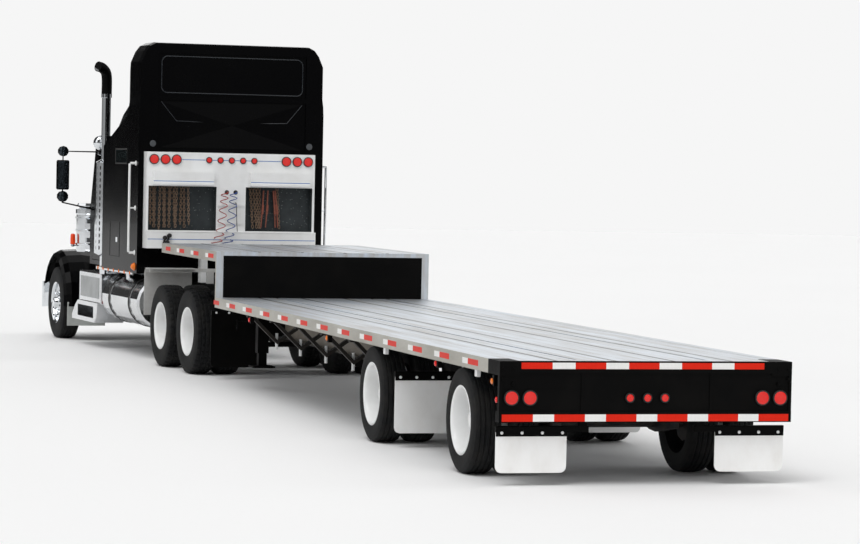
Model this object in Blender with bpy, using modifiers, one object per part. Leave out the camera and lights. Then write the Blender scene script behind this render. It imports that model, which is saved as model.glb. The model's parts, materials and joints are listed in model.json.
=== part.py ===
"""Articulated flatbed lorry: a long-nosed sleeper tractor coupled to a drop-deck flatbed trailer.

Metres, +Z up. The lorry faces -Y and its left side is +X. The trailer stands square to the axes, and
the tractor is turned a few degrees about the kingpin, as it is parked. Inside the file every place is
given as (x, forward, z): x to the left, forward from the trailer's rear face or from the kingpin.
"""
import math

import bmesh
import bpy
from mathutils import Matrix, Vector

# Fits and clearances
GAP = 0.0003
RUNNING = 0.008

# Trailer deck
DECK_WIDTH = 2.591
LOWER_DECK_LENGTH = 11.278
UPPER_DECK_LENGTH = 3.353
LOWER_DECK_Z = 1.05
UPPER_DECK_Z = 1.59
FLOOR_THICKNESS = 0.03
RAIL_HEIGHT = 0.12
RAIL_FLANGE = 0.10
RAIL_WALL = 0.012
POST_WIDTH = 0.085
POST_DEPTH = 0.05
HEADER_DEPTH = 0.05
FLOOR_GROOVES = (0.56, -0.60)
GROOVE_WIDTH = 0.03
GROOVE_DEPTH = 0.012

# Trailer frame
BEAM_FLANGE = 0.14
BEAM_TO_TYRE = 0.0865
BEAM_WALL = 0.014
BEAM_REAR = 0.12
BEAM_SHALLOW_Z = 0.78
BEAM_DEEP_Z = 0.60
BEAM_DEEP_FROM = 5.6
GOOSENECK_RISE = 0.75
COUPLER_Z = 1.24
CROSSMEMBER_PITCH = 0.76
CROSSMEMBER_DEPTH = 0.075
CROSSMEMBER_WIDTH = 0.06
KINGPIN_SETBACK = 0.406
KINGPIN_RADIUS = 0.0254
KINGPIN_DROP = 0.084
TRAILER_AXLES = (1.205, 4.199)
SUSPENSION_REACH = 0.50
LANDING_GEAR_AT = 10.96
LANDING_LEG_FROM_BEAM = 0.265
LANDING_LEG_SIDE = 0.13
LANDING_FOOT_Z = 0.25
HANGER_PITCH = 1.15
HANGER_FIRST = 5.1
HANGER_COUNT = 5
HANGER_FOOT_X = 0.92
HANGER_FOOT_Z = 0.60
HANGER_BAR = 0.035
AIR_TANK_AT = 2.55
AIR_TANK_X = 0.03
AIR_TANK_Z = 0.56
AIR_TANK_RADIUS = 0.10
AIR_TANK_HALF = 0.20

# Rear end
BUMPER_BOTTOM_Z = 0.54
BUMPER_TOP_Z = 0.97
BUMPER_DEPTH = 0.05
END_CAP_LENGTH = 0.33
END_CAP_WIDTH = 0.18
PANEL_RECESS = 0.012
PANEL_RIB_X = 0.57
LAMP_Z = 0.745
LAMP_INSET = 0.105
LAMP_PITCH = 0.16
LAMP_RADIUS = 0.062
SMALL_LAMP_RADIUS = 0.038
SMALL_LAMP_PITCH = 0.155
FLAP_INNER_X = 0.66
FLAP_THICKNESS = 0.01
FLAP_CORNER = 0.05

# Wheels
WHEEL_SIDES = 20
TRAILER_AXLE_Z = 0.46
TRAILER_TYRE_WIDTH = 0.255
TRAILER_DUAL_SPACING = 0.33
TRAILER_TYRE_INSET = 0.019
TRACTOR_AXLE_Z = 0.525
TRACTOR_TYRE_WIDTH = 0.285
TRACTOR_DUAL_SPACING = 0.345
TRACTOR_DUAL_X = 0.925
STEER_WHEEL_X = 1.055
RIM_RADIUS = 0.29
RIM_WALL = 0.016
HUB_RADIUS = 0.115
HUB_INNER = 0.16

# Tractor
ARTICULATION_DEG = 3.65
TANDEM_CENTRE = 0.0
TANDEM_SPACING = 1.32
WHEELBASE = 6.9
FRAME_X = 0.43
FRAME_TOP_Z = 1.04
FRAME_HEIGHT = 0.27
FRAME_REAR = -1.72
FRAME_WALL = 0.012
FRAME_FLANGE = 0.09
STEERING_PIVOT_X = 0.88
STEERING_PIVOT_RADIUS = 0.045

# Sleeper and cab
SLEEPER_REAR = 1.775
SLEEPER_LENGTH = 1.95
SLEEPER_HALF = 1.27
BODY_BOTTOM_Z = 1.15
SLEEPER_TOP_Z = 4.20
SLEEPER_PANEL_HALF = 1.02
SLEEPER_RECESS = 0.015
GRAB_RAIL_OUT = 0.085
GRAB_RAIL_RADIUS = 0.014
SHELL_WALL = 0.05
CAB_HALF = 1.02
CAB_LENGTH = 1.76
CAB_ROOF_Z = 2.97
BELT_Z = 2.02
DOOR_REAR = 0.58
DOOR_FRONT = 1.62
DOOR_BOTTOM_Z = 1.22
DOOR_TOP_Z = 2.78
DOOR_THICKNESS = 0.05
DOORWAY_HALF = 0.45

# Hood
FRONT_OVERHANG = 0.865
HOOD_WALL = 0.025
HOOD_PIVOT_BACK = 0.165
HOOD_PIVOT_Z = 0.90
HOOD_BOTTOM_Z = 1.02
HINGE_EAR = 0.05
FENDER_RADIUS = 0.70
FENDER_INNER_X = 0.56
FENDER_OUTER_X = 1.22
FENDER_SHEET = 0.025
FENDER_CROWN = 0.085
FENDER_FIRST_DEG = 22
FENDER_LAST_DEG = 182

# Equipment
ENGINE_BACK = 0.10
ENGINE_LENGTH = 1.25
ENGINE_BOTTOM_Z = 0.62
ENGINE_TOP_Z = 1.72
TANK_RADIUS = 0.33
TANK_X = 0.88
TANK_REAR = 1.95
TANK_FRONT = 3.95
STACK_FROM_CAB = 0.2947
GUARD_RADIUS = 0.135
STACK_TOP_Z = 3.97
PIPE_RADIUS = 0.062
RACK_HALF = 1.155
RACK_CENTRE = 0.04
RACK_BOTTOM_Z = 1.49
RACK_TOP_Z = 2.757
RACK_REAR = 1.62
RACK_TRAY_DEPTH = 0.08

HALF_DECK = DECK_WIDTH / 2
TRAILER_LENGTH = LOWER_DECK_LENGTH + UPPER_DECK_LENGTH
TRAILER_DUAL_X = HALF_DECK - TRAILER_TYRE_INSET - (TRAILER_DUAL_SPACING + TRAILER_TYRE_WIDTH) / 2
BEAM_X = TRAILER_DUAL_X - (TRAILER_DUAL_SPACING + TRAILER_TYRE_WIDTH + BEAM_FLANGE) / 2 - BEAM_TO_TYRE
LANDING_LEG_X = BEAM_X + LANDING_LEG_FROM_BEAM
KINGPIN_AT = TRAILER_LENGTH - KINGPIN_SETBACK
CAB_REAR = SLEEPER_REAR + SLEEPER_LENGTH + GAP
STACK_AT = CAB_REAR + STACK_FROM_CAB
CAB_FRONT = CAB_REAR + CAB_LENGTH
STEER_AXLE = TANDEM_CENTRE + WHEELBASE
HOOD_REAR = CAB_FRONT + 0.03
HOOD_FRONT = STEER_AXLE + FRONT_OVERHANG
HOOD_PIVOT = HOOD_FRONT - HOOD_PIVOT_BACK
FRAME_FRONT = HOOD_FRONT - 0.065
FRAME_SEAT_X = (FRAME_X - FRAME_FLANGE, FRAME_X)
SPRING_REACH = FRONT_OVERHANG - HOOD_PIVOT_BACK
FRAME_BOTTOM_Z = FRAME_TOP_Z - FRAME_HEIGHT
STACK_X = CAB_HALF + GUARD_RADIUS + 0.015
SCREEN_HALF = CAB_HALF - 0.16
SEAT_X = CAB_HALF - 0.44
MIRROR_X = CAB_HALF + 0.47
STEP_OUTER_X = CAB_HALF + 0.20

FINISHES = {
    "aluminium": ("B9BCBE", 0.35, 1.0),
    "polished aluminium": ("D5D7D9", 0.15, 1.0),
    "galvanised steel": ("8C8880", 0.55, 0.6),
    "black steel": ("17191B", 0.5, 0.0),
    "black paint": ("060708", 0.12, 0.0),
    "chrome": ("E3E5E7", 0.06, 1.0),
    "white enamel": ("E9E9E7", 0.3, 0.0),
    "tyre rubber": ("1B1C1D", 0.85, 0.0),
    "cast iron": ("2B2C2D", 0.7, 0.3),
    "glass": ("20282C", 0.05, 0.0),
    "grey trim": ("4A4B4D", 0.8, 0.0),
    "white plastic": ("EDEDEB", 0.6, 0.0),
    "red hose": ("A8231C", 0.5, 0.0),
    "blue hose": ("1F3F8A", 0.5, 0.0),
}


def clear_scene():
    for old in list(bpy.data.objects):
        bpy.data.objects.remove(old, do_unlink=True)


def new_collection(name):
    group = bpy.data.collections.new(name)
    bpy.context.scene.collection.children.link(group)
    return group


clear_scene()
LORRY = new_collection("articulated_flatbed_lorry")
WORKSHOP = new_collection("workshop")


def make_finishes():
    """One Principled material for each finish, its colour turned from sRGB to linear."""
    made = {}
    for name, (colour, roughness, metallic) in FINISHES.items():
        material = bpy.data.materials.new(name)
        material.use_nodes = True
        shader = material.node_tree.nodes["Principled BSDF"]
        linear = []
        for channel in (0, 2, 4):
            level = int(colour[channel:channel + 2], 16) / 255
            linear.append(level / 12.92 if level <= 0.04045 else ((level + 0.055) / 1.055) ** 2.4)
        shader.inputs["Base Color"].default_value = (*linear, 1.0)
        shader.inputs["Roughness"].default_value = roughness
        shader.inputs["Metallic"].default_value = metallic
        made[name] = material
    return made


MATERIALS = make_finishes()


def place(x, forward, z):
    return Vector((x, -forward, z))


def piece_of(mesh):
    piece = bpy.data.objects.new("piece", mesh)
    WORKSHOP.objects.link(piece)
    return piece


def piece_from(bm):
    """A working piece from a bmesh, its faces turned to point out."""
    bmesh.ops.recalc_face_normals(bm, faces=bm.faces[:])
    mesh = bpy.data.meshes.new("piece")
    bm.to_mesh(mesh)
    bm.free()
    return piece_of(mesh)


def block(x, forward, z, bevel=0.0):
    """A box between two places on each axis, its edges broken by bevel."""
    bm = bmesh.new()
    bmesh.ops.create_cube(bm, size=1.0)
    low = Vector((min(x), -max(forward), min(z)))
    high = Vector((max(x), -min(forward), max(z)))
    for vertex in bm.verts:
        vertex.co = low + Vector(((vertex.co[i] + 0.5) * (high[i] - low[i]) for i in range(3)))
    if bevel:
        bmesh.ops.bevel(bm, geom=bm.edges[:], offset=bevel, segments=1, affect="EDGES")
    return piece_from(bm)


def rod(start, end, radius, sides=10, tip=None):
    """A round bar between two places."""
    bm = bmesh.new()
    start, end = place(*start), place(*end)
    turn = (end - start).to_track_quat("Z", "Y").to_matrix().to_4x4()
    move = Matrix.Translation((start + end) / 2) @ turn
    bmesh.ops.create_cone(bm, cap_ends=True, segments=sides, radius1=radius,
                          radius2=radius if tip is None else tip, depth=(end - start).length, matrix=move)
    return piece_from(bm)


def curve_piece(curve, matrix=None):
    """The mesh that a curve object gives, with its caps welded."""
    drawn = bpy.data.objects.new("drawn", curve)
    WORKSHOP.objects.link(drawn)
    mesh = bpy.data.meshes.new_from_object(drawn.evaluated_get(bpy.context.evaluated_depsgraph_get()))
    bpy.data.objects.remove(drawn, do_unlink=True)
    bm = bmesh.new()
    bm.from_mesh(mesh)
    bpy.data.meshes.remove(mesh)
    bmesh.ops.remove_doubles(bm, verts=bm.verts[:], dist=0.00001)
    if matrix is not None:
        bmesh.ops.transform(bm, matrix=matrix, verts=bm.verts[:])
    return piece_from(bm)


def extruded(outlines, half):
    """A flat outline with a thickness; outlines after the first are holes."""
    curve = bpy.data.curves.new("outline", "CURVE")
    curve.dimensions = "2D"
    curve.fill_mode = "BOTH"
    curve.extrude = half
    for outline in outlines:
        spline = curve.splines.new("POLY")
        spline.points.add(len(outline) - 1)
        for point, (u, v) in zip(spline.points, outline):
            point.co = (u, v, 0.0, 1.0)
        spline.use_cyclic_u = True
    return curve


def side_plate(outline, x, holes=()):
    """An outline of (forward, z) points with its thickness across the lorry."""
    curve = extruded([outline, *holes], abs(x[1] - x[0]) / 2)
    lie = Matrix(((0, 0, 1, sum(x) / 2), (-1, 0, 0, 0), (0, 1, 0, 0), (0, 0, 0, 1)))
    return curve_piece(curve, lie)


def cross_section(outline, forward, holes=()):
    """An outline of (x, z) points carried along the lorry."""
    curve = extruded([outline, *holes], abs(forward[1] - forward[0]) / 2)
    lie = Matrix(((1, 0, 0, 0), (0, 0, 1, -sum(forward) / 2), (0, 1, 0, 0), (0, 0, 0, 1)))
    return curve_piece(curve, lie)


def flat_plate(outline, z):
    """An outline of (x, forward) points with its thickness upwards."""
    curve = extruded([outline], abs(z[1] - z[0]) / 2)
    lie = Matrix(((1, 0, 0, 0), (0, -1, 0, 0), (0, 0, 1, sum(z) / 2), (0, 0, 0, 1)))
    return curve_piece(curve, lie)


def tube(points, radius, sides=2):
    """A bar or pipe along the places given."""
    curve = bpy.data.curves.new("pipe", "CURVE")
    curve.dimensions = "3D"
    curve.bevel_depth = radius
    curve.bevel_resolution = sides
    curve.use_fill_caps = True
    spline = curve.splines.new("POLY")
    spline.points.add(len(points) - 1)
    for point, spot in zip(spline.points, points):
        point.co = (*place(*spot), 1.0)
    return curve_piece(curve)


def turned(profile, axis, centre=(0, 0, 0), steps=16, closed=False, half_step=True):
    """A profile of (radius, along) points spun about an axis of the lorry through centre.

    along runs to the left for X, forward for Y and up for Z.
    """
    bm = bmesh.new()
    verts = []
    for radius, along in profile:
        spot = {"X": (along, 0, radius), "Y": (radius, -along, 0), "Z": (radius, 0, along)}[axis]
        verts.append(bm.verts.new(spot))
    pairs = list(zip(verts, verts[1:]))
    if closed:
        pairs.append((verts[-1], verts[0]))
    for pair in pairs:
        bm.edges.new(pair)
    mesh = bpy.data.meshes.new("profile")
    bm.to_mesh(mesh)
    bm.free()
    blank = bpy.data.objects.new("profile", mesh)
    WORKSHOP.objects.link(blank)
    screw = blank.modifiers.new("spin", "SCREW")
    screw.axis = axis
    screw.steps = steps
    screw.render_steps = steps
    screw.use_merge_vertices = True
    screw.merge_threshold = 0.00001
    spun = bpy.data.meshes.new_from_object(blank.evaluated_get(bpy.context.evaluated_depsgraph_get()))
    bpy.data.objects.remove(blank, do_unlink=True)
    bm = bmesh.new()
    bm.from_mesh(spun)
    bpy.data.meshes.remove(spun)
    bmesh.ops.remove_doubles(bm, verts=bm.verts[:], dist=0.00001)
    angle = math.pi / steps if half_step else 0.0
    turn = Matrix.Translation(place(*centre)) @ Matrix.Rotation(angle, 4, axis)
    bmesh.ops.transform(bm, matrix=turn, verts=bm.verts[:])
    return piece_from(bm)


def loft(sections):
    """A closed solid through rings of places with equal point counts, its end rings filled."""
    bm = bmesh.new()
    rings = [[bm.verts.new(place(*spot)) for spot in ring] for ring in sections]
    for near, far in zip(rings, rings[1:]):
        for i in range(len(near)):
            j = (i + 1) % len(near)
            bm.faces.new((near[i], near[j], far[j], far[i]))
    bm.faces.new(rings[0])
    bm.faces.new(rings[-1])
    return piece_from(bm)


def mirrored(piece):
    """The same piece on the right-hand side."""
    bm = bmesh.new()
    bm.from_mesh(piece.data)
    bmesh.ops.transform(bm, matrix=Matrix.Scale(-1, 4, (1, 0, 0)), verts=bm.verts[:])
    return piece_from(bm)


def both(*pieces):
    return [*pieces, *(mirrored(piece) for piece in pieces)]


def strip(points, thickness):
    """The outline of a band that follows points, with its thickness on their right-hand side."""
    outer = []
    for i, point in enumerate(points):
        here = Vector(point)
        before = Vector(points[max(i - 1, 0)])
        after = Vector(points[min(i + 1, len(points) - 1)])
        into = (here - before).normalized() if i else (after - here).normalized()
        out = (after - here).normalized() if i < len(points) - 1 else into
        along = (into + out).normalized()
        normal = Vector((along.y, -along.x))
        outer.append(here + normal * thickness / max(normal.dot(Vector((into.y, -into.x))), 0.2))
    return [tuple(p) for p in points] + [tuple(p) for p in reversed(outer)]


def arc(centre, radius, first_deg, last_deg, steps):
    """Points of (forward, z) on a circle; 0 degrees is forward and 90 is up."""
    spots = []
    for i in range(steps + 1):
        angle = math.radians(first_deg + (last_deg - first_deg) * i / steps)
        spots.append((centre[0] + radius * math.cos(angle), centre[1] + radius * math.sin(angle)))
    return spots


def combine(base, others, operation):
    """Join others to base, or cut them from it, and use them up."""
    group = bpy.data.collections.new("operands")
    WORKSHOP.children.link(group)
    for other in others:
        group.objects.link(other)
    joint = base.modifiers.new("combine", "BOOLEAN")
    joint.operation = operation
    joint.operand_type = "COLLECTION"
    joint.collection = group
    joint.solver = "EXACT"
    made = bpy.data.meshes.new_from_object(base.evaluated_get(bpy.context.evaluated_depsgraph_get()))
    base.modifiers.clear()
    base.data = made
    for other in others:
        bpy.data.objects.remove(other, do_unlink=True)
    bpy.data.collections.remove(group)


def finish(name, finish_name, parent, pieces, cutters=(), origin=None, smooth_deg=None):
    """One named sub-part from its pieces, in its own finish, riding on parent."""
    base = pieces[0]
    if len(pieces) > 1:
        combine(base, pieces[1:], "UNION")
    if cutters:
        combine(base, list(cutters), "DIFFERENCE")
    mesh = base.data.copy()
    bpy.data.objects.remove(base, do_unlink=True)
    mesh.name = name
    mesh.materials.clear()
    mesh.materials.append(MATERIALS[finish_name])
    if origin is not None:
        mesh.transform(Matrix.Translation(-origin))
    if smooth_deg:
        mesh.shade_smooth()
        mesh.set_sharp_from_angle(angle=math.radians(smooth_deg))
    part = bpy.data.objects.new(name, mesh)
    part.parent = parent
    LORRY.objects.link(part)
    return part


def empty(name, parent=None, spot=(0, 0, 0)):
    """A joint or an assembly's origin."""
    marker = bpy.data.objects.new(name, None)
    marker.location = place(*spot)
    marker.parent = parent
    LORRY.objects.link(marker)
    return marker


def on_axis(name, finish_name, pivot, pieces, cutters=(), smooth_deg=None):
    """A sub-part that turns with the empty pivot, modelled in the tractor's places."""
    return finish(name, finish_name, pivot, pieces, cutters, pivot.location, smooth_deg)


TRAILER = empty("trailer_origin")
TRACTOR = empty("kingpin_axis", TRAILER, (0, KINGPIN_AT, 0))
TRACTOR.rotation_euler.z = math.radians(ARTICULATION_DEG)


# Trailer deck
def rail_profile(top):
    """The side rail: a web with a wide top flange, a narrow bottom lip and a bead along its foot."""
    low = top - RAIL_HEIGHT
    edge = HALF_DECK
    return [(edge, low), (edge, top), (edge - RAIL_FLANGE, top), (edge - RAIL_FLANGE, top - FLOOR_THICKNESS),
            (edge - RAIL_WALL * 2, top - FLOOR_THICKNESS), (edge - RAIL_WALL * 2, low + RAIL_WALL),
            (edge - RAIL_FLANGE * 0.6, low + RAIL_WALL), (edge - RAIL_FLANGE * 0.6, low)]


def deck(name, start, end, top, extra):
    floor = block((-HALF_DECK + RAIL_FLANGE * 0.5, HALF_DECK - RAIL_FLANGE * 0.5), (start, end),
                  (top - FLOOR_THICKNESS, top - 0.002))
    rails = both(cross_section(rail_profile(top), (start, end)))
    grooves = [block((x - GROOVE_WIDTH / 2, x + GROOVE_WIDTH / 2), (start - 0.1, end + 0.1),
                     (top - GROOVE_DEPTH, top + 0.1)) for x in FLOOR_GROOVES]
    return finish(name, "aluminium", TRAILER, [floor, *rails, *extra], grooves)


def make_decks():
    between_caps = HALF_DECK - END_CAP_WIDTH
    floor_end = block((-between_caps, between_caps), (HEADER_DEPTH + GAP, END_CAP_LENGTH + 0.1),
                      (LOWER_DECK_Z - FLOOR_THICKNESS, LOWER_DECK_Z - 0.002))
    deck("lower_deck", END_CAP_LENGTH, LOWER_DECK_LENGTH, LOWER_DECK_Z, [floor_end])
    start = LOWER_DECK_LENGTH + GAP
    header_z = UPPER_DECK_Z - RAIL_HEIGHT * 0.4
    front = block((-HALF_DECK, HALF_DECK), (TRAILER_LENGTH - HEADER_DEPTH, TRAILER_LENGTH),
                  (UPPER_DECK_Z - RAIL_HEIGHT, UPPER_DECK_Z))
    rear = block((-HALF_DECK, HALF_DECK), (start, start + POST_DEPTH), (header_z, UPPER_DECK_Z))
    posts = both(block((HALF_DECK - POST_WIDTH, HALF_DECK), (start, start + POST_DEPTH),
                       (LOWER_DECK_Z - RAIL_HEIGHT, UPPER_DECK_Z - 0.01)))
    deck("upper_deck", start, TRAILER_LENGTH, UPPER_DECK_Z, [front, rear, *posts])


def make_bulkhead():
    """The black plate that closes the step between the two decks."""
    inside = HALF_DECK - POST_WIDTH - GAP
    start = LOWER_DECK_LENGTH + GAP
    plate = block((-inside, inside), (start, start + 0.02),
                  (beam_top(LOWER_DECK_Z) + GAP, UPPER_DECK_Z - RAIL_HEIGHT * 0.4 - GAP))
    pockets = [block((x - 0.06, x + 0.06), (start - 0.01, start + 0.008),
                     (LOWER_DECK_Z - 0.01, LOWER_DECK_Z + 0.02)) for x in FLOOR_GROOVES]
    finish("drop_bulkhead", "black steel", TRAILER, [plate], pockets)


def beam_top(deck_z):
    """The height of a main beam's top, let a little into the crossmembers that lie on it."""
    return deck_z - FLOOR_THICKNESS - GAP - CROSSMEMBER_DEPTH + 0.002


def beam_outline():
    """One main beam from the side, with its gooseneck: the top edge, then the bottom edge."""
    low_top = beam_top(LOWER_DECK_Z)
    high_top = beam_top(UPPER_DECK_Z)
    step = LOWER_DECK_LENGTH + 0.035
    nose = TRAILER_LENGTH - HEADER_DEPTH - 0.01
    top = [(BEAM_REAR, low_top), (step, low_top), (step, high_top), (nose, high_top)]
    bend_end = step + GOOSENECK_RISE
    bend = arc((bend_end, COUPLER_Z - GOOSENECK_RISE * 0.85), GOOSENECK_RISE * 0.85, 90, 150, 4)
    bottom = [(nose, COUPLER_Z), *bend, (step - 0.25, BEAM_DEEP_Z), (BEAM_DEEP_FROM, BEAM_DEEP_Z),
              (BEAM_DEEP_FROM - 0.9, BEAM_SHALLOW_Z), (BEAM_REAR, BEAM_SHALLOW_Z)]
    return top, bottom


def side_hanger(forward):
    """A V of angle bar between the side rail and the main beam, with an upright rod at its foot."""
    under = LOWER_DECK_Z - RAIL_HEIGHT - GAP
    half = HANGER_BAR
    path = [(HALF_DECK - 0.05, under - 0.01), (HANGER_FOOT_X, HANGER_FOOT_Z), (BEAM_X - 0.004, 0.86)]
    angle = cross_section(strip(path, HANGER_BAR), (forward - half, forward + half))
    x, z = HANGER_FOOT_X, HANGER_FOOT_Z
    foot = rod((x, forward, z - 0.06), (x, forward, z + 0.12), 0.014, 5)
    pad = block((HALF_DECK - 0.10, HALF_DECK - 0.03), (forward - 0.045, forward + 0.045),
                (under - 0.03, under))
    return [angle, foot, pad]


def suspension_hanger(axle):
    """The bracket under each main beam that carries the trailing arm."""
    at = axle + SUSPENSION_REACH
    outline = [(at - 0.06, BEAM_SHALLOW_Z + 0.01), (at + 0.14, BEAM_SHALLOW_Z + 0.01),
               (at + 0.06, 0.44), (at - 0.06, 0.44)]
    return side_plate(outline, (BEAM_X - 0.05, BEAM_X + 0.05))


def air_tank():
    """The brake system's air tank, slung across the lorry from a bar between the main beams."""
    radius, half, at = AIR_TANK_RADIUS, AIR_TANK_HALF, AIR_TANK_AT
    drum = turned([(0, -half), (radius * 0.7, -half), (radius, -half + 0.05), (radius, half - 0.05),
                   (radius * 0.7, half), (0, half)], "X", (AIR_TANK_X, at, AIR_TANK_Z), 12)
    bar_z = BEAM_SHALLOW_Z + 0.16
    straps = [block((x - 0.02, x + 0.02), (at - 0.03, at + 0.03), (AIR_TANK_Z + radius * 0.8, bar_z + 0.02))
              for x in (AIR_TANK_X - half * 0.6, AIR_TANK_X + half * 0.6)]
    return [drum, *straps, block((-BEAM_X, BEAM_X), (at - 0.03, at + 0.03), (bar_z, bar_z + 0.02))]


def make_trailer_frame():
    top, bottom = beam_outline()
    web = side_plate(top + bottom, (BEAM_X - BEAM_WALL / 2, BEAM_X + BEAM_WALL / 2))
    flange_x = (BEAM_X - BEAM_FLANGE / 2, BEAM_X + BEAM_FLANGE / 2)
    lower_flange = side_plate(strip(bottom, BEAM_WALL), flange_x)
    top_flange = side_plate(strip(top[:2], BEAM_WALL), flange_x)
    neck_flange = side_plate(strip(top[2:], BEAM_WALL), flange_x)
    pieces = both(web, lower_flange, top_flange, neck_flange)
    deck_under = LOWER_DECK_Z - FLOOR_THICKNESS - GAP
    neck_under = UPPER_DECK_Z - FLOOR_THICKNESS - GAP
    reach = HALF_DECK - RAIL_WALL * 2 - GAP
    spots = []
    count = int((LOWER_DECK_LENGTH - 0.7) / CROSSMEMBER_PITCH)
    for i in range(count + 1):
        spots.append((0.45 + i * CROSSMEMBER_PITCH, deck_under))
    neck_start = LOWER_DECK_LENGTH + 0.45
    neck_count = int((UPPER_DECK_LENGTH - 0.6) / CROSSMEMBER_PITCH)
    for i in range(neck_count + 1):
        spots.append((neck_start + i * CROSSMEMBER_PITCH, neck_under))
    for forward, under in spots:
        pieces.append(block((-reach, reach), (forward, forward + CROSSMEMBER_WIDTH),
                            (under - CROSSMEMBER_DEPTH, under)))
    pieces.append(block((-BEAM_X - 0.07, BEAM_X + 0.07), (KINGPIN_AT - 0.95, KINGPIN_AT + 0.34),
                        (COUPLER_Z, COUPLER_Z + BEAM_WALL)))
    pieces.append(rod((0, KINGPIN_AT, COUPLER_Z + 0.005), (0, KINGPIN_AT, COUPLER_Z - KINGPIN_DROP),
                      KINGPIN_RADIUS, 12))
    for axle in TRAILER_AXLES:
        pieces.extend(both(suspension_hanger(axle)))
    for i in range(HANGER_COUNT):
        pieces.extend(both(*side_hanger(HANGER_FIRST + i * HANGER_PITCH)))
    pieces.extend(air_tank())
    finish("trailer_frame", "galvanised steel", TRAILER, pieces)


def lamp_row(places, z, radius, face, proud, sides=12):
    """Round lamps that stand a little proud of a face that looks to the rear."""
    return [rod((x, face + 0.02, z), (x, face - proud, z), radius, sides) for x in places]


def make_rear_bumper():
    """The rear panel between its header and bumper, with ribs, lamp seats and a cap on each rail's end."""
    bottom, top, half = BUMPER_BOTTOM_Z, BUMPER_TOP_Z, HALF_DECK
    under_caps = half - END_CAP_WIDTH / 2
    header = block((-under_caps, under_caps), (0, HEADER_DEPTH), (top - 0.02, LOWER_DECK_Z))
    panel = block((-half, half), (PANEL_RECESS, BUMPER_DEPTH), (bottom + 0.02, top))
    low_bar = block((-half, half), (0, BUMPER_DEPTH * 2), (bottom, bottom + 0.09))
    rib_x = (PANEL_RIB_X - 0.012, PANEL_RIB_X + 0.012)
    ribs = both(block(rib_x, (0.004, 0.03), (bottom + 0.05, top - 0.01)),
                block((half - 0.025, half), (0.002, BUMPER_DEPTH - 0.004), (bottom + 0.05, top)))
    caps = both(block((half - END_CAP_WIDTH + GAP, half), (0.001, END_CAP_LENGTH - GAP),
                      (LOWER_DECK_Z - RAIL_HEIGHT, LOWER_DECK_Z)))
    legs = both(block((BEAM_X - 0.05, BEAM_X + 0.05), (0.03, BEAM_REAR - GAP), (bottom + 0.06, top - 0.02)))
    outer = [side * (half - LAMP_INSET - i * LAMP_PITCH) for side in (1, -1) for i in (0, 1)]
    lamps = lamp_row(outer, LAMP_Z, LAMP_RADIUS, PANEL_RECESS, PANEL_RECESS * 2)
    lamps += lamp_row([i * SMALL_LAMP_PITCH for i in (1, 0, -1)], LAMP_Z, SMALL_LAMP_RADIUS, PANEL_RECESS,
                      PANEL_RECESS * 2)
    finish("rear_bumper", "black steel", TRAILER, [panel, header, low_bar, *ribs, *caps, *legs, *lamps])


def make_landing_gear():
    """Two telescopic legs on a cross brace, with their feet wound up off the ground."""
    x, side, at = LANDING_LEG_X, LANDING_LEG_SIDE / 2, LANDING_GEAR_AT
    inner, foot = side * 0.75, side * 2
    bracket = BEAM_X + BEAM_WALL / 2 + GAP
    top = LOWER_DECK_Z - FLOOR_THICKNESS - CROSSMEMBER_DEPTH - GAP * 2
    pieces = both(
        block((x - side, x + side), (at - side, at + side), (0.42, top)),
        block((x - inner, x + inner), (at - inner, at + inner), (LANDING_FOOT_Z, 0.45)),
        block((x - foot, x + foot), (at - foot, at + foot), (LANDING_FOOT_Z, LANDING_FOOT_Z + 0.02)),
        block((bracket, x), (at - 0.06, at + 0.06), (BEAM_DEEP_Z + BEAM_WALL + GAP, 0.90)),
    )
    pieces.append(rod((-x, at, 0.52), (x, at, 0.52), 0.03, 8))
    pieces.append(tube([(x, at, 0.80), (x + 0.30, at, 0.80), (x + 0.34, at - 0.16, 0.70)], 0.012, 1))
    finish("landing_gear", "black steel", TRAILER, pieces)


def make_trailer_axle(name, axle):
    """An axle tube with its trailing arms, brake plates and air bags."""
    inner = TRAILER_DUAL_X - HUB_INNER - GAP
    tube_piece = rod((-inner, axle, TRAILER_AXLE_Z), (inner, axle, TRAILER_AXLE_Z), 0.065, 8)
    eye = axle + SUSPENSION_REACH - 0.06 - GAP
    side = [(axle - 0.44, 0.50), (axle - 0.44, 0.42), (axle - 0.06, 0.36), (axle + 0.10, 0.37), (eye, 0.46),
            (eye, 0.56), (axle + 0.10, 0.545), (axle - 0.10, 0.54)]
    arm = side_plate(side, (BEAM_X - 0.04, BEAM_X + 0.04))
    bag_top = BEAM_SHALLOW_Z - GAP
    bag = turned([(0, 0.48), (0.12, 0.48), (0.12, bag_top), (0, bag_top)], "Z", (BEAM_X, axle - 0.30, 0), 10)
    plate = rod((inner - 0.05, axle, TRAILER_AXLE_Z), (inner - 0.02, axle, TRAILER_AXLE_Z), 0.19, 10)
    finish(name, "cast iron", TRAILER, [tube_piece, *both(arm, bag, plate)])


def rounded_flap(x, forward, z):
    """A flap that hangs square from its bar, its two lower corners rounded."""
    low = z[0] + FLAP_CORNER
    outline = [(x[0], z[1]), (x[1], z[1]), *arc((x[1] - FLAP_CORNER, low), FLAP_CORNER, 0, -90, 3),
               *arc((x[0] + FLAP_CORNER, low), FLAP_CORNER, -90, -180, 3)]
    return cross_section(outline, forward)


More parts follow.
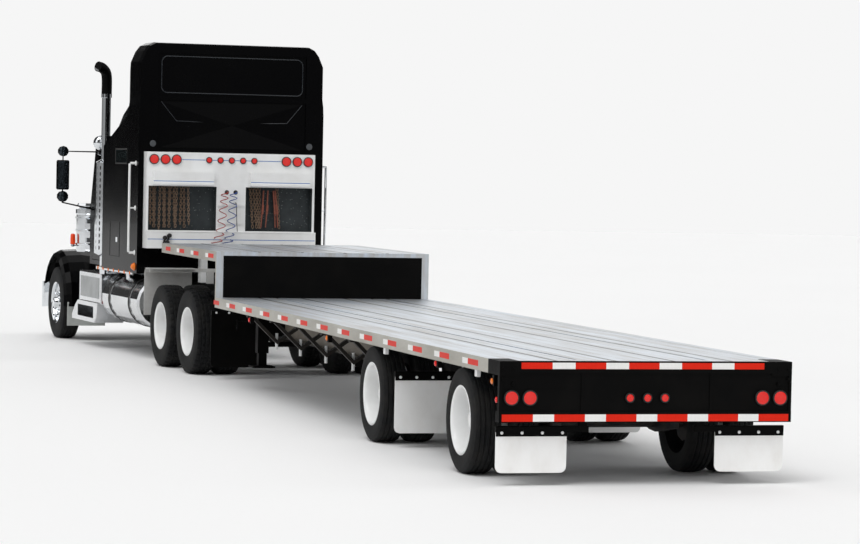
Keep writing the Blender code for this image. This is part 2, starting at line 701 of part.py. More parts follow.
def make_trailer_mudflaps():
    """White flaps behind each axle, on a bar that hangs from the main beams."""
    for name, at, outer, low, top in (("rear_mudflaps", 0.125, HALF_DECK - 0.016, 0.11, 0.50),
                                      ("middle_mudflaps", 3.52, HALF_DECK - 0.075, 0.14, 0.72)):
        flap = rounded_flap((FLAP_INNER_X, outer), (at, at + FLAP_THICKNESS), (low, top - 0.03))
        bar = block((-outer, outer), (at - 0.004, at + 0.03), (top - 0.05, top))
        hangers = both(block((BEAM_X - 0.03, BEAM_X + 0.03), (at - 0.002, at + 0.028),
                             (top - 0.03, BEAM_SHALLOW_Z - GAP)))
        finish(name, "white plastic", TRAILER, [bar, *both(flap), *hangers])


# Wheels
def tyre_side(radius, width, centre):
    """One tyre's section, from its outer bead over the tread to its inner bead."""
    half = width / 2
    return [(radius * 0.80, centre + half), (radius, centre + half * 0.84), (radius, centre - half * 0.84),
            (radius * 0.80, centre - half)]


def twin_tyre_mesh(radius, width, spacing):
    bead = width * 0.41
    lip = spacing / 2 + bead
    profile = [(RIM_RADIUS, lip), *tyre_side(radius, width, spacing / 2), (RIM_RADIUS + 0.03, 0.0),
               *tyre_side(radius, width, -spacing / 2), (RIM_RADIUS, -lip)]
    return turned(profile, "X", steps=WHEEL_SIDES, closed=True)


def single_tyre_mesh(radius, width):
    bead = width * 0.41
    profile = [(RIM_RADIUS, bead), *tyre_side(radius, width, 0.0), (RIM_RADIUS, -bead)]
    return turned(profile, "X", steps=WHEEL_SIDES, closed=True)


def twin_rim_mesh(width, spacing):
    """The outer wheel of a pair: a deep dish from its lip in to the hub, and the brake drum behind."""
    lip = spacing / 2 + width * 0.41
    seat = RIM_RADIUS - GAP
    profile = [(0, 0.20), (0.075, 0.20), (0.085, 0.12), (HUB_RADIUS + 0.02, 0.03),
               (seat - RIM_WALL - 0.01, 0.03),
               (seat - RIM_WALL, lip - 0.01), (seat + 0.012, lip + 0.018), (seat + 0.012, lip + 0.007),
               (seat, lip + 0.007), (seat, -0.02), (0.20, -0.02), (0.20, -HUB_INNER), (0, -HUB_INNER)]
    return turned(profile, "X", steps=WHEEL_SIDES)


def single_rim_mesh(width):
    """A steered wheel: the disc stands out past the tyre's centre and carries the hub cap."""
    lip = width * 0.41
    seat = RIM_RADIUS - GAP
    profile = [(0, 0.17), (0.07, 0.16), (0.09, 0.09), (0.17, 0.07), (seat - RIM_WALL - 0.015, 0.03),
               (seat - RIM_WALL, lip - 0.01), (seat + 0.012, lip + 0.018), (seat + 0.012, lip + 0.007),
               (seat, lip + 0.007), (seat, -lip), (seat - RIM_WALL, -lip), (seat - RIM_WALL, 0.0),
               (HUB_RADIUS, 0.03), (HUB_RADIUS, -0.07), (0, -0.07)]
    return turned(profile, "X", steps=WHEEL_SIDES)


def wheel(name, mesh, parent, spot, side):
    """One wheel piece at its axle end, with its outer face to its own side."""
    part = bpy.data.objects.new(name, mesh)
    part.parent = parent
    part.location = place(*spot)
    part.rotation_euler.z = 0.0 if side > 0 else math.pi
    LORRY.objects.link(part)
    return part


def wheel_mesh(piece, finish_name, name):
    mesh = piece.data.copy()
    bpy.data.objects.remove(piece, do_unlink=True)
    mesh.name = name
    mesh.materials.clear()
    mesh.materials.append(MATERIALS[finish_name])
    mesh.shade_smooth()
    mesh.set_sharp_from_angle(angle=math.radians(35))
    return mesh


SIDES = (("left", 1), ("right", -1))


def make_wheels(steering):
    """Every tyre and rim. A tyre's flats are let out a little, so that it stands at its true radius."""
    flat = 1 / math.cos(math.pi / WHEEL_SIDES)
    sizes = {"trailer": (TRAILER_AXLE_Z * flat, TRAILER_TYRE_WIDTH, TRAILER_DUAL_SPACING),
             "drive": (TRACTOR_AXLE_Z * flat, TRACTOR_TYRE_WIDTH, TRACTOR_DUAL_SPACING)}
    shapes = {}
    for kind, (radius, width, spacing) in sizes.items():
        shapes[kind] = (wheel_mesh(twin_tyre_mesh(radius, width, spacing), "tyre rubber", f"{kind}_tyres"),
                        wheel_mesh(twin_rim_mesh(width, spacing), "white enamel", f"{kind}_rim"))
    steer_tyre = wheel_mesh(single_tyre_mesh(TRACTOR_AXLE_Z * flat, TRACTOR_TYRE_WIDTH), "tyre rubber",
                            "steer_tyre_shape")
    steer_rim = wheel_mesh(single_rim_mesh(TRACTOR_TYRE_WIDTH), "polished aluminium", "steer_rim_shape")
    places = [("trailer", row, TRAILER, TRAILER_DUAL_X, axle, TRAILER_AXLE_Z)
              for row, axle in zip(("rear", "front"), TRAILER_AXLES)]
    half = TANDEM_SPACING / 2
    places += [("drive", row, TRACTOR, TRACTOR_DUAL_X, TANDEM_CENTRE + at, TRACTOR_AXLE_Z)
               for row, at in (("rear", -half), ("front", half))]
    for side_name, side in SIDES:
        for kind, row, parent, x, forward, z in places:
            tyres, rim = shapes[kind]
            wheel(f"{kind}_{row}_{side_name}_tyres", tyres, parent, (side * x, forward, z), side)
            wheel(f"{kind}_{row}_{side_name}_rim", rim, parent, (side * x, forward, z), side)
        spot = (side * (STEER_WHEEL_X - STEERING_PIVOT_X), 0, 0)
        wheel(f"steer_{side_name}_tyre", steer_tyre, steering[side_name], spot, side)
        wheel(f"steer_{side_name}_rim", steer_rim, steering[side_name], spot, side)


# Tractor chassis
def make_tractor_frame():
    bottom = FRAME_BOTTOM_Z
    x, wall, flange = FRAME_X, FRAME_WALL, FRAME_FLANGE
    channel = [(x, bottom), (x, FRAME_TOP_Z), (x - flange, FRAME_TOP_Z), (x - flange, FRAME_TOP_Z - wall),
               (x - wall, FRAME_TOP_Z - wall), (x - wall, bottom + wall), (x - flange, bottom + wall),
               (x - flange, bottom)]
    pieces = both(cross_section(channel, (FRAME_REAR, FRAME_FRONT)))
    for at in (FRAME_REAR, TANDEM_CENTRE - 0.05, TANK_REAR, STACK_AT, CAB_FRONT - 0.95, FRAME_FRONT - 0.08):
        pieces.append(block((wall / 2 - x, x - wall / 2), (at, at + 0.08),
                            (bottom + 0.03, FRAME_TOP_Z - 0.03)))
    finish("tractor_frame", "black steel", TRACTOR, pieces)


def make_fifth_wheel():
    """The coupling plate with its throat open to the rear, on two side brackets."""
    top = COUPLER_Z - GAP
    throat = KINGPIN_RADIUS + RUNNING
    side = [(throat, -0.10), (0.22, -0.62), (0.38, -0.62), (0.46, -0.30), (0.46, 0.16), (0.34, 0.36)]
    pocket = arc((0.0, 0.0), throat, 180, 0, 4)
    outline = side + [(-x, forward) for x, forward in reversed(side)] + pocket
    plate = flat_plate(outline, (top - 0.045, top))
    brackets = both(side_plate([(-0.30, FRAME_TOP_Z + GAP), (0.30, FRAME_TOP_Z + GAP), (0.10, top - 0.03),
                                (-0.10, top - 0.03)], (FRAME_X - FRAME_FLANGE, FRAME_X)))
    finish("fifth_wheel", "cast iron", TRACTOR, [plate, *brackets])


def make_drive_tandem():
    """Two drive axles with their differentials, on a pair of rocking beams under the frame."""
    inner = TRACTOR_DUAL_X - HUB_INNER - GAP
    z, seat = TRACTOR_AXLE_Z, FRAME_BOTTOM_Z - GAP
    bowl = [(0, -0.20), (0.13, -0.15), (0.20, 0.0), (0.13, 0.15), (0, 0.20)]
    pieces = []
    for at in (TANDEM_CENTRE - TANDEM_SPACING / 2, TANDEM_CENTRE + TANDEM_SPACING / 2):
        pieces.append(rod((-inner, at, z), (inner, at, z), 0.07, 12))
        pieces.append(turned(bowl, "X", (0, at, z), 12))
        pieces.append(rod((0, at, z + 0.02), (0, at + 0.42, z + 0.06), 0.09, 10, 0.05))
    reach = TANDEM_SPACING / 2 + 0.19
    half = [(reach, z - 0.025), (reach, 0.60), (0.12, 0.70), (0.12, seat)]
    side = [(TANDEM_CENTRE + at, up) for at, up in half + [(-at, up) for at, up in reversed(half)]]
    pieces.extend(both(side_plate(side, (FRAME_X - 0.08, FRAME_X + 0.02))))
    finish("drive_tandem", "cast iron", TRACTOR, pieces)


def make_front_axle():
    """The dropped axle beam on two leaf springs."""
    end = STEERING_PIVOT_X - STEERING_PIVOT_RADIUS - GAP
    z, at, reach = TRACTOR_AXLE_Z, STEER_AXLE, SPRING_REACH
    top = [(end, z + 0.05), (0.60, z + 0.03), (0.48, z - 0.05)]
    bottom = [(0.50, z - 0.15), (0.62, z - 0.07), (end, z - 0.06)]
    outline = top + [(-x, up) for x, up in reversed(top)] + [(-x, up) for x, up in reversed(bottom)] + bottom
    beam = cross_section(outline, (at - 0.05, at + 0.05))
    spring_x = (FRAME_X - FRAME_FLANGE, FRAME_X - 0.01)
    leaf = side_plate(strip([(at - reach, 0.72), (at, z - 0.06), (at + reach, 0.72)], -0.05), spring_x)
    eyes = [block(spring_x, (at + end_at - 0.04, at + end_at + 0.04), (0.70, FRAME_BOTTOM_Z - GAP))
            for end_at in (-reach, reach)]
    finish("steer_axle", "cast iron", TRACTOR, [beam, *both(leaf, *eyes)])


def make_steering():
    """A knuckle on each end of the front axle, turning on its upright pin."""
    make_front_axle()
    x, at, z = STEERING_PIVOT_X, STEER_AXLE, TRACTOR_AXLE_Z
    hub = STEER_WHEEL_X - 0.07 - GAP
    pivots = {}
    for side_name, side in SIDES:
        pivot = empty(f"{side_name}_steering_axis", TRACTOR, (side * x, at, z))
        pin = rod((side * x, at, z - 0.13), (side * x, at, z + 0.13), STEERING_PIVOT_RADIUS, 12)
        spindle = rod((side * x, at, z), (side * hub, at, z), 0.05, 10)
        arm = block((side * (x - 0.01), side * (x + 0.03)), (at - 0.26, at), (z - 0.12, z - 0.08))
        on_axis(f"{side_name}_knuckle", "cast iron", pivot, [pin, spindle, arm])
        pivots[side_name] = pivot
    return pivots


def make_engine():
    """The engine, gearbox and radiator as one plain mass in its real place."""
    rear = CAB_FRONT + ENGINE_BACK
    motor = block((-0.33, 0.33), (rear, rear + ENGINE_LENGTH), (ENGINE_BOTTOM_Z, ENGINE_TOP_Z), 0.04)
    gearbox = block((-0.24, 0.24), (rear - 0.85, rear + 0.1), (ENGINE_BOTTOM_Z, FRAME_TOP_Z - 0.02), 0.04)
    fan = HOOD_FRONT - 0.53
    radiator = block((-0.40, 0.40), (fan, fan + 0.12), (FRAME_TOP_Z + GAP, ENGINE_TOP_Z - 0.06))
    feet = both(block((0.30, FRAME_X - FRAME_WALL - GAP), (rear + 0.4, rear + 0.6), (0.84, 0.94)))
    shaft = rod((0, rear + ENGINE_LENGTH - 0.05, 1.20), (0, fan + 0.05, 1.20), 0.06, 8)
    finish("engine", "cast iron", TRACTOR, [motor, gearbox, radiator, *feet, shaft])


# Cab
def cab_profile(inset):
    """The cab from the side as (forward, z): floor, cowl, raked windscreen and roof."""
    return [(CAB_REAR + inset, BODY_BOTTOM_Z + inset), (CAB_FRONT - inset, BODY_BOTTOM_Z + inset),
            (CAB_FRONT - inset, BELT_Z), (CAB_FRONT - 0.26 - inset, CAB_ROOF_Z - 0.13 - inset),
            (CAB_FRONT - 0.42 - inset, CAB_ROOF_Z - inset), (CAB_REAR + inset, CAB_ROOF_Z - inset)]


def windscreen_line():
    foot = Vector((CAB_FRONT, BELT_Z))
    head = Vector((CAB_FRONT - 0.26, CAB_ROOF_Z - 0.13))
    return foot.lerp(head, 0.06), foot.lerp(head, 0.94)


def door_outline(clear):
    rear, front = CAB_REAR + DOOR_REAR - clear, CAB_REAR + DOOR_FRONT + clear
    top = DOOR_TOP_Z + clear
    lean = 0.26 * (DOOR_TOP_Z - BELT_Z) / (CAB_ROOF_Z - 0.13 - BELT_Z)
    low = DOOR_BOTTOM_Z - clear
    return [(rear, low), (front, low), (front, BELT_Z), (front - lean, top), (rear, top)]


def window_outline(clear):
    rear, front = CAB_REAR + DOOR_REAR + 0.09, CAB_REAR + DOOR_FRONT - 0.10
    sill, top = BELT_Z + 0.06, DOOR_TOP_Z - 0.09
    return [(rear + clear, sill + clear), (front - clear, sill + clear), (front - 0.20 - clear, top - clear),
            (rear + clear, top - clear)]


def make_cab():
    """The cab's hollow shell with its doorways, its windscreen opening and the passage to the sleeper."""
    shell = side_plate(cab_profile(0.0), (-CAB_HALF, CAB_HALF))
    inside = side_plate(cab_profile(SHELL_WALL), (-CAB_HALF + SHELL_WALL, CAB_HALF - SHELL_WALL))
    doorway = block((-DOORWAY_HALF, DOORWAY_HALF), (CAB_REAR - 0.1, CAB_REAR + 0.2), (1.45, 2.70))
    openings = [side_plate(door_outline(RUNNING), (side * (CAB_HALF - 0.1), side * (CAB_HALF + 0.1)))
                for side in (-1, 1)]
    foot, head = windscreen_line()
    screen = side_plate([(foot.x + 0.1, foot.y), (head.x + 0.13, head.y), (head.x - 0.13, head.y),
                         (foot.x - 0.2, foot.y)], (-SCREEN_HALF, SCREEN_HALF))
    combine(shell, [inside, doorway, *openings, screen], "DIFFERENCE")
    visor = side_plate(strip([(CAB_FRONT - 0.46, CAB_ROOF_Z - 0.01), (CAB_FRONT - 0.30, CAB_ROOF_Z - 0.05),
                              (CAB_FRONT - 0.12, CAB_ROOF_Z - 0.14)], 0.012), (-SCREEN_HALF, SCREEN_HALF))
    finish("cab_shell", "black paint", TRACTOR, [shell, visor])
    middle = 0.02
    glass = side_plate([(foot.x - middle - 0.006, foot.y + GAP), (foot.x - middle, foot.y + GAP),
                        (head.x - middle, head.y - GAP), (head.x - middle - 0.006, head.y - GAP)],
                       (-SCREEN_HALF + GAP, SCREEN_HALF - GAP))
    finish("windscreen", "glass", TRACTOR, [glass])


def mirror_set(side, at):
    """A tall mirror between two round ones, on a bent tube that stands off the door."""
    x, inner = side * MIRROR_X, side * (CAB_HALF - 0.02)
    head = block((x - 0.09, x + 0.09), (at - 0.03, at + 0.03), (2.20, 2.62), 0.015)
    rounds = [rod((x, at - 0.03, z), (x, at + 0.02, z), radius, 10)
              for z, radius in ((2.745, 0.075), (2.105, 0.08))]
    arm = tube([(inner, at - 0.22, 2.745), (x, at, 2.745), (x, at, 2.02), (inner, at, 1.92)], 0.012, 1)
    return [head, *rounds, arm]


def make_doors():
    """Two doors hung at their front edges, each with its glass and mirrors."""
    hinge_forward = CAB_REAR + DOOR_FRONT + RUNNING
    for side_name, side in SIDES:
        pivot = empty(f"{side_name}_door_axis", TRACTOR, (side * (CAB_HALF + 0.008), hinge_forward, 0))
        inner, outer = side * (CAB_HALF - DOOR_THICKNESS), side * CAB_HALF
        panel = side_plate(door_outline(0.0), (inner, outer), [window_outline(0.0)])
        handle = block((outer - side * 0.01, outer + side * 0.03),
                       (CAB_REAR + DOOR_REAR + 0.05, CAB_REAR + DOOR_REAR + 0.22), (1.86, 1.89))
        mirrors = mirror_set(side, CAB_REAR + DOOR_FRONT - 0.10)
        on_axis(f"{side_name}_door", "black paint", pivot, [panel, handle, *mirrors])
        middle = side * (CAB_HALF - DOOR_THICKNESS / 2)
        glass = side_plate(window_outline(GAP), (middle - 0.003, middle + 0.003))
        on_axis(f"{side_name}_door_glass", "glass", pivot, [glass])


def make_seat(x, at, floor_z):
    """A pedestal, a cushion and a raked back."""
    pedestal = block((x - 0.17, x + 0.17), (at, at + 0.36), (floor_z + 0.01, floor_z + 0.34))
    cushion = block((x - 0.25, x + 0.25), (at - 0.05, at + 0.48), (floor_z + 0.32, floor_z + 0.46), 0.03)
    back = side_plate([(at - 0.10, floor_z + 0.40), (at + 0.04, floor_z + 0.40), (at - 0.02, floor_z + 1.18),
                       (at - 0.14, floor_z + 1.18)], (x - 0.24, x + 0.24))
    return [pedestal, cushion, back]


def make_interior():
    """Seats, dash and steering wheel on the cab's floor."""
    floor_z = BODY_BOTTOM_Z + SHELL_WALL + GAP
    wide = CAB_HALF - SHELL_WALL - GAP
    front = CAB_FRONT - SHELL_WALL - GAP
    pieces = [block((-wide, wide), (CAB_REAR + SHELL_WALL + GAP, front), (floor_z, floor_z + 0.02))]
    pieces.append(side_plate([(front, floor_z + 0.01), (front, 1.97), (CAB_FRONT - 0.20, 1.98),
                              (CAB_FRONT - 0.34, 1.86), (CAB_FRONT - 0.30, 1.50), (CAB_FRONT - 0.16, 1.40),
                              (CAB_FRONT - 0.16, floor_z + 0.01)], (-wide, wide)))
    for x in (-SEAT_X, SEAT_X):
        pieces.extend(make_seat(x, CAB_REAR + 0.42, floor_z))
    hub = (SEAT_X, CAB_FRONT - 0.52, 1.98)
    grip = [(0.215, -0.014), (0.245, -0.014), (0.245, 0.014), (0.215, 0.014)]
    ring = turned(grip, "Z", steps=16, closed=True)
    spokes = block((-0.225, 0.225), (-0.02, 0.02), (-0.008, 0.008))
    lean = Matrix.Translation(place(*hub)) @ Matrix.Rotation(math.radians(-28), 4, "X")
    for piece in (ring, spokes):
        piece.data.transform(lean)
        pieces.append(piece)
    pieces.append(rod(hub, (SEAT_X, CAB_FRONT - 0.22, 1.68), 0.03, 8))
    finish("cab_interior", "grey trim", TRACTOR, pieces)


def sleeper_ring(at, shoulder, top, raised, inset):
    """One upright section of the sleeper: straight sides, a shoulder, then the raised roof."""
    half, low = SLEEPER_HALF - inset, BODY_BOTTOM_Z + inset
    crown, inner = top - inset, raised - inset
    between = half * 0.7 + inner * 0.3
    side = [(half, low), (half, shoulder - 0.14 - inset), (between, shoulder - 0.02 - inset),
            (inner, shoulder + 0.08), (inner, crown - 0.26), (inner - 0.06, crown - 0.12),
            (inner - 0.12, crown - 0.04), (inner - 0.20, crown)]
    ring = [(x, at, z) for x, z in side] + [(-x, at, z) for x, z in reversed(side)]
    return ring


def sleeper_sections(inset):
    """Sections from the rear wall, where the roof is full, down to the cab's roof at the front."""
    start, end = SLEEPER_REAR + inset, SLEEPER_REAR + SLEEPER_LENGTH - inset
    stations = ((0.0, 3.42, 0.01, 0.02), (0.06, 3.42, 0.0, 0.012), (0.30, 3.38, 0.0, 0.02),
                (0.52, 3.26, 0.10, 0.12), (0.78, 3.10, 0.42, 0.32), (1.0, 2.97, 0.84, 0.55))
    rings = []
    for share, shoulder, fall, narrow in stations:
        at = start + share * (end - start)
        rings.append(sleeper_ring(at, shoulder, SLEEPER_TOP_Z - fall, SLEEPER_HALF - narrow, inset))
    return rings


def make_sleeper():
    """The sleeper's hollow shell, with a bunk inside, sunk panels behind, windows and two grab rails."""
    shell = loft(sleeper_sections(0.0))
    inside = loft(sleeper_sections(SHELL_WALL))
    rear, half, bottom = SLEEPER_REAR, SLEEPER_HALF, BODY_BOTTOM_Z
    doorway = block((-DOORWAY_HALF, DOORWAY_HALF), (CAB_REAR - 0.3, CAB_REAR + 0.1), (1.45, 2.70))
    panel_x = (-SLEEPER_PANEL_HALF, SLEEPER_PANEL_HALF)
    sunk = [block(panel_x, (rear - 0.1, rear + SLEEPER_RECESS), z) for z in ((3.50, 4.06), (2.80, 3.44))]
    windows = both(block((half - 0.01, half + 0.1), (rear + 0.62, rear + 1.30), (2.58, 2.80)))
    combine(shell, [inside, doorway, *sunk, *windows], "DIFFERENCE")
    bunk = block((-half + 0.02, half - 0.02), (rear + 0.02, rear + 1.0), (1.60, 1.75))
    mounts = [block(FRAME_SEAT_X, (rear + at, rear + at + 0.15), (FRAME_TOP_Z + GAP, bottom + 0.01))
              for at in (0.3, 1.5)]
    out, at = half + GRAB_RAIL_OUT, rear + 0.12
    rail = tube([(half - 0.02, at, 2.60), (out, at, 2.60), (out, at, 1.42), (half - 0.02, at, 1.42)],
                GRAB_RAIL_RADIUS, 2)
    finish("sleeper_shell", "black paint", TRACTOR, [shell, bunk, *both(rail, *mounts)], smooth_deg=30)


# Hood
def hood_ring(at, half, low, top, round_off):
    side = [(half, low), (half, top - round_off * 1.6), (half - round_off * 0.35, top - round_off * 0.7),
            (half - round_off, top - round_off * 0.15), (0.0, top)]
    return [(x, at, z) for x, z in side] + [(-x, at, z) for x, z in reversed(side[:-1])]


def hood_solid(inset):
    extra = 0.05 if inset else 0.0
    stations = ((HOOD_REAR - extra, 0.60, 1.98, 0.22), ((HOOD_REAR + HOOD_FRONT) / 2, 0.56, 1.94, 0.22),
                (HOOD_FRONT + extra, 0.50, 1.84, 0.20))
    return loft([hood_ring(at, half - inset, HOOD_BOTTOM_Z - extra * 2, top - inset, round_off)
                 for at, half, top, round_off in stations])


def wing_section(angle_deg):
    """One crowned section across a front wing, its outer lip rolled down."""
    middle = (FENDER_INNER_X + FENDER_OUTER_X) / 2
    edge, sheet, crown = FENDER_OUTER_X, FENDER_SHEET, FENDER_CROWN
    outside = [(FENDER_INNER_X, crown * 0.45), (middle, crown), (edge - 0.10, crown * 0.85),
               (edge - 0.03, crown * 0.4), (edge, -sheet)]
    inside = [(edge - sheet, -sheet), (edge - sheet * 2, crown * 0.4 - sheet),
              (edge - 0.13, crown * 0.85 - sheet), (middle, crown - sheet),
              (FENDER_INNER_X, crown * 0.45 - sheet)]
    angle = math.radians(angle_deg)
    return [(x, STEER_AXLE + (FENDER_RADIUS + out) * math.cos(angle),
             TRACTOR_AXLE_Z + (FENDER_RADIUS + out) * math.sin(angle)) for x, out in outside + inside]


def make_hood():
    """The tilting nose: the hood, both front wings and the lamp pods, all one moulding."""
    pivot = empty("hood_axis", TRACTOR, (0, HOOD_PIVOT, HOOD_PIVOT_Z))
    shell = hood_solid(0.0)
    combine(shell, [hood_solid(HOOD_WALL)], "DIFFERENCE")
    step = (FENDER_LAST_DEG - FENDER_FIRST_DEG) / 12
    wing = loft([wing_section(FENDER_FIRST_DEG + i * step) for i in range(13)])
    flap_at = STEER_AXLE - FENDER_RADIUS - FENDER_CROWN
    flap = block((FENDER_INNER_X + 0.06, FENDER_OUTER_X - 0.04), (flap_at + 0.04, flap_at + 0.052),
                 (0.22, 0.56))
    lamp_at = STEER_AXLE + FENDER_RADIUS - 0.12
    pod = block((0.47, 0.88), (lamp_at - 0.2, lamp_at + 0.14), (1.02, 1.22), 0.03)
    foot = HOOD_BOTTOM_Z + 0.05
    round_end = arc((HOOD_PIVOT, HOOD_PIVOT_Z), HINGE_EAR, 180, 360, 4)
    ear = side_plate([*round_end, (HOOD_PIVOT + HINGE_EAR, foot), (HOOD_PIVOT - HINGE_EAR, foot)],
                     (FRAME_X + GAP, 0.50))
    on_axis("hood", "black paint", pivot, [shell, *both(wing, flap, pod, ear)], smooth_deg=30)
    make_grille(pivot)


def make_grille(pivot):
    """The radiator grille in its deep surround: upright bars and one shelf."""
    at = HOOD_FRONT
    outer = [(0.50, 0.98), (0.50, 1.70), (0.40, 1.82)]
    inner = [(0.45, 1.03), (0.45, 1.68), (0.37, 1.77)]
    frame = cross_section(outer + [(-x, z) for x, z in reversed(outer)], (at + GAP, at + 0.05),
                          [inner + [(-x, z) for x, z in reversed(inner)]])
    bars = [block((i * 0.1 - 0.008, i * 0.1 + 0.008), (at + 0.01, at + 0.04), (1.01, 1.79))
            for i in range(-4, 5)]
    shelf = block((-0.46, 0.46), (at + 0.012, at + 0.038), (1.38, 1.40))
    on_axis("grille", "chrome", pivot, [frame, *bars, shelf])


def make_front_bumper():
    """The deep front bumper, its ends swept back."""
    front = HOOD_FRONT + 0.17
    swept = [(1.20, front - 0.17), (1.0, front - 0.03), (0.6, front)]
    path = [(-x, at) for x, at in swept] + list(reversed(swept))
    blade = flat_plate(strip(path, 0.03), (0.42, 0.80))
    arms = both(block(FRAME_SEAT_X, (FRAME_FRONT + GAP, front - 0.02), (0.60, 0.74)),
                block(FRAME_SEAT_X, (FRAME_FRONT - 0.045, FRAME_FRONT + 0.02), (0.60, FRAME_BOTTOM_Z - GAP)))
    finish("front_bumper", "chrome", TRACTOR, [blade, *arms])


# Equipment along the tractor
def make_air_cleaners():
    """Two air cleaners outside the hood, ahead of the doors, each a banded can under a rain cap."""
    at, x = CAB_FRONT + 0.22, CAB_HALF - 0.01
    profile = [(0, 1.31), (0.145, 1.31), (0.16, 1.34), (0.16, 1.84), (0.17, 1.86), (0.17, 1.92),
               (0.12, 1.94), (0.12, 1.96), (0.155, 1.97), (0.14, 2.005), (0, 2.01)]
    for side_name, side in SIDES:
        can = turned(profile, "Z", (side * x, at, 0), 14)
        brackets = [block((side * (x - 0.06), side * (x + 0.06)), (CAB_FRONT + GAP, at), (z, z + 0.06))
                    for z in (1.45, 1.72)]
        finish(f"{side_name}_air_cleaner", "chrome", TRACTOR, [can, *brackets], smooth_deg=40)


def make_exhaust():
    """Twin upright stacks behind the cab doors, fed by one cross pipe, their tips bent out."""
    low = FRAME_TOP_Z + GAP
    pipe_z = low + 0.055
    pieces = [rod((-STACK_X, STACK_AT, pipe_z), (STACK_X, STACK_AT, pipe_z), 0.045, 8)]
    elbow = STACK_TOP_Z - 0.27
    profile = [(0, pipe_z - 0.04), (0.055, pipe_z - 0.04), (0.055, 1.30), (GUARD_RADIUS, 1.34),
               (GUARD_RADIUS, 2.60), (PIPE_RADIUS, 2.64), (PIPE_RADIUS, elbow), (0, elbow)]
    for side in (-1, 1):
        x = side * STACK_X
        pieces.append(turned(profile, "Z", (x, STACK_AT, 0), 14))
        pieces.append(tube([(x, STACK_AT, elbow - 0.12), (x, STACK_AT, elbow + 0.06),
                            (x + side * 0.02, STACK_AT - 0.02, elbow + 0.14),
                            (x + side * 0.08, STACK_AT - 0.06, STACK_TOP_Z - 0.07),
                            (x + side * 0.15, STACK_AT - 0.10, STACK_TOP_Z - 0.05)], PIPE_RADIUS + 0.005, 2))
        pieces.append(block([side * edge for edge in FRAME_SEAT_X], (STACK_AT - 0.04, STACK_AT + 0.04),
                            (low, pipe_z)))
    finish("exhaust_system", "chrome", TRACTOR, pieces, smooth_deg=40)


def make_tanks():
    """A round fuel tank under each side of the sleeper, held by two straps."""
    z, radius, wide = 0.745, TANK_RADIUS, TANK_RADIUS + 0.006
    profile = [(0, TANK_REAR), (radius - 0.03, TANK_REAR), (radius, TANK_REAR + 0.03)]
    strap_places = (TANK_REAR + 0.45, TANK_FRONT - 0.45)
    for at in strap_places:
        profile += [(radius, at - 0.035), (wide, at - 0.03), (wide, at + 0.03), (radius, at + 0.035)]
    profile += [(radius, TANK_FRONT - 0.03), (radius - 0.03, TANK_FRONT), (0, TANK_FRONT)]
    for side_name, side in SIDES:
        drum = turned(profile, "Y", (side * TANK_X, 0, z), 20)
        bracket_x = (side * (FRAME_X + GAP), side * (TANK_X - 0.05))
        brackets = [block(bracket_x, (at - 0.04, at + 0.04), (0.80, 0.98)) for at in strap_places]
        filler = rod((side * (TANK_X + 0.12), TANK_REAR + 1.2, z + 0.2),
                     (side * (TANK_X + 0.14), TANK_REAR + 1.2, z + 0.36), 0.05, 10)
        finish(f"{side_name}_fuel_tank", "polished aluminium", TRACTOR, [drum, *brackets, filler],
               smooth_deg=40)


def make_step_boxes():
    """A locker with a step under it below each door, the step's nose swept up towards the front wheel."""
    start, end = STACK_AT + 0.07, CAB_FRONT - 0.10
    for side_name, side in SIDES:
        locker = block((side * (FRAME_X + GAP), side * (STEP_OUTER_X - 0.03)), (start, end), (0.62, 1.06),
                       0.015)
        step = side_plate([(start + 0.05, 0.64), (end - 0.05, 0.64), (end + 0.12, 0.56), (end + 0.30, 0.42),
                           (end + 0.30, 0.36), (start + 0.25, 0.36), (start + 0.10, 0.45)],
                          (side * (STEP_OUTER_X - 0.42), side * STEP_OUTER_X))
        hollow = block((side * (STEP_OUTER_X - 0.38), side * (STEP_OUTER_X + 0.08)),
                       (start + 0.30, end - 0.05), (0.42, 0.58))
        finish(f"{side_name}_step_box", "polished aluminium", TRACTOR, [locker, step], [hollow])


def make_quarter_fenders():
    """Sheet guards ahead of the front drive tyres, on one bar across the frame."""
    wall = TANDEM_CENTRE + TANDEM_SPACING / 2 + TRACTOR_AXLE_Z + 0.285
    path = [(wall, 0.62), (wall, 1.18), (wall - 0.06, 1.24), (wall - 0.20, 1.24)]
    guard = side_plate(strip(path, -0.012), (0.60, 1.24))
    bar_at = wall - 0.12
    bar = block((-1.2, 1.2), (bar_at - 0.02, bar_at + 0.02), (1.19, 1.235))
    posts = both(block(FRAME_SEAT_X, (bar_at - 0.03, bar_at + 0.03), (FRAME_TOP_Z + GAP, 1.21)))
    finish("quarter_fenders", "polished aluminium", TRACTOR, [bar, *both(guard), *posts])


def make_tractor_mudflaps():
    """Black flaps behind the drive tyres, on a bar across the frame's rear end."""
    at = FRAME_REAR - GAP
    bar = block((-1.22, 1.22), (at - 0.04, at), (0.79, 0.84))
    flap = rounded_flap((0.60, 1.22), (at - 0.025, at - 0.015), (0.15, 0.81))
    finish("tractor_mudflaps", "black steel", TRACTOR, [bar, *both(flap)])


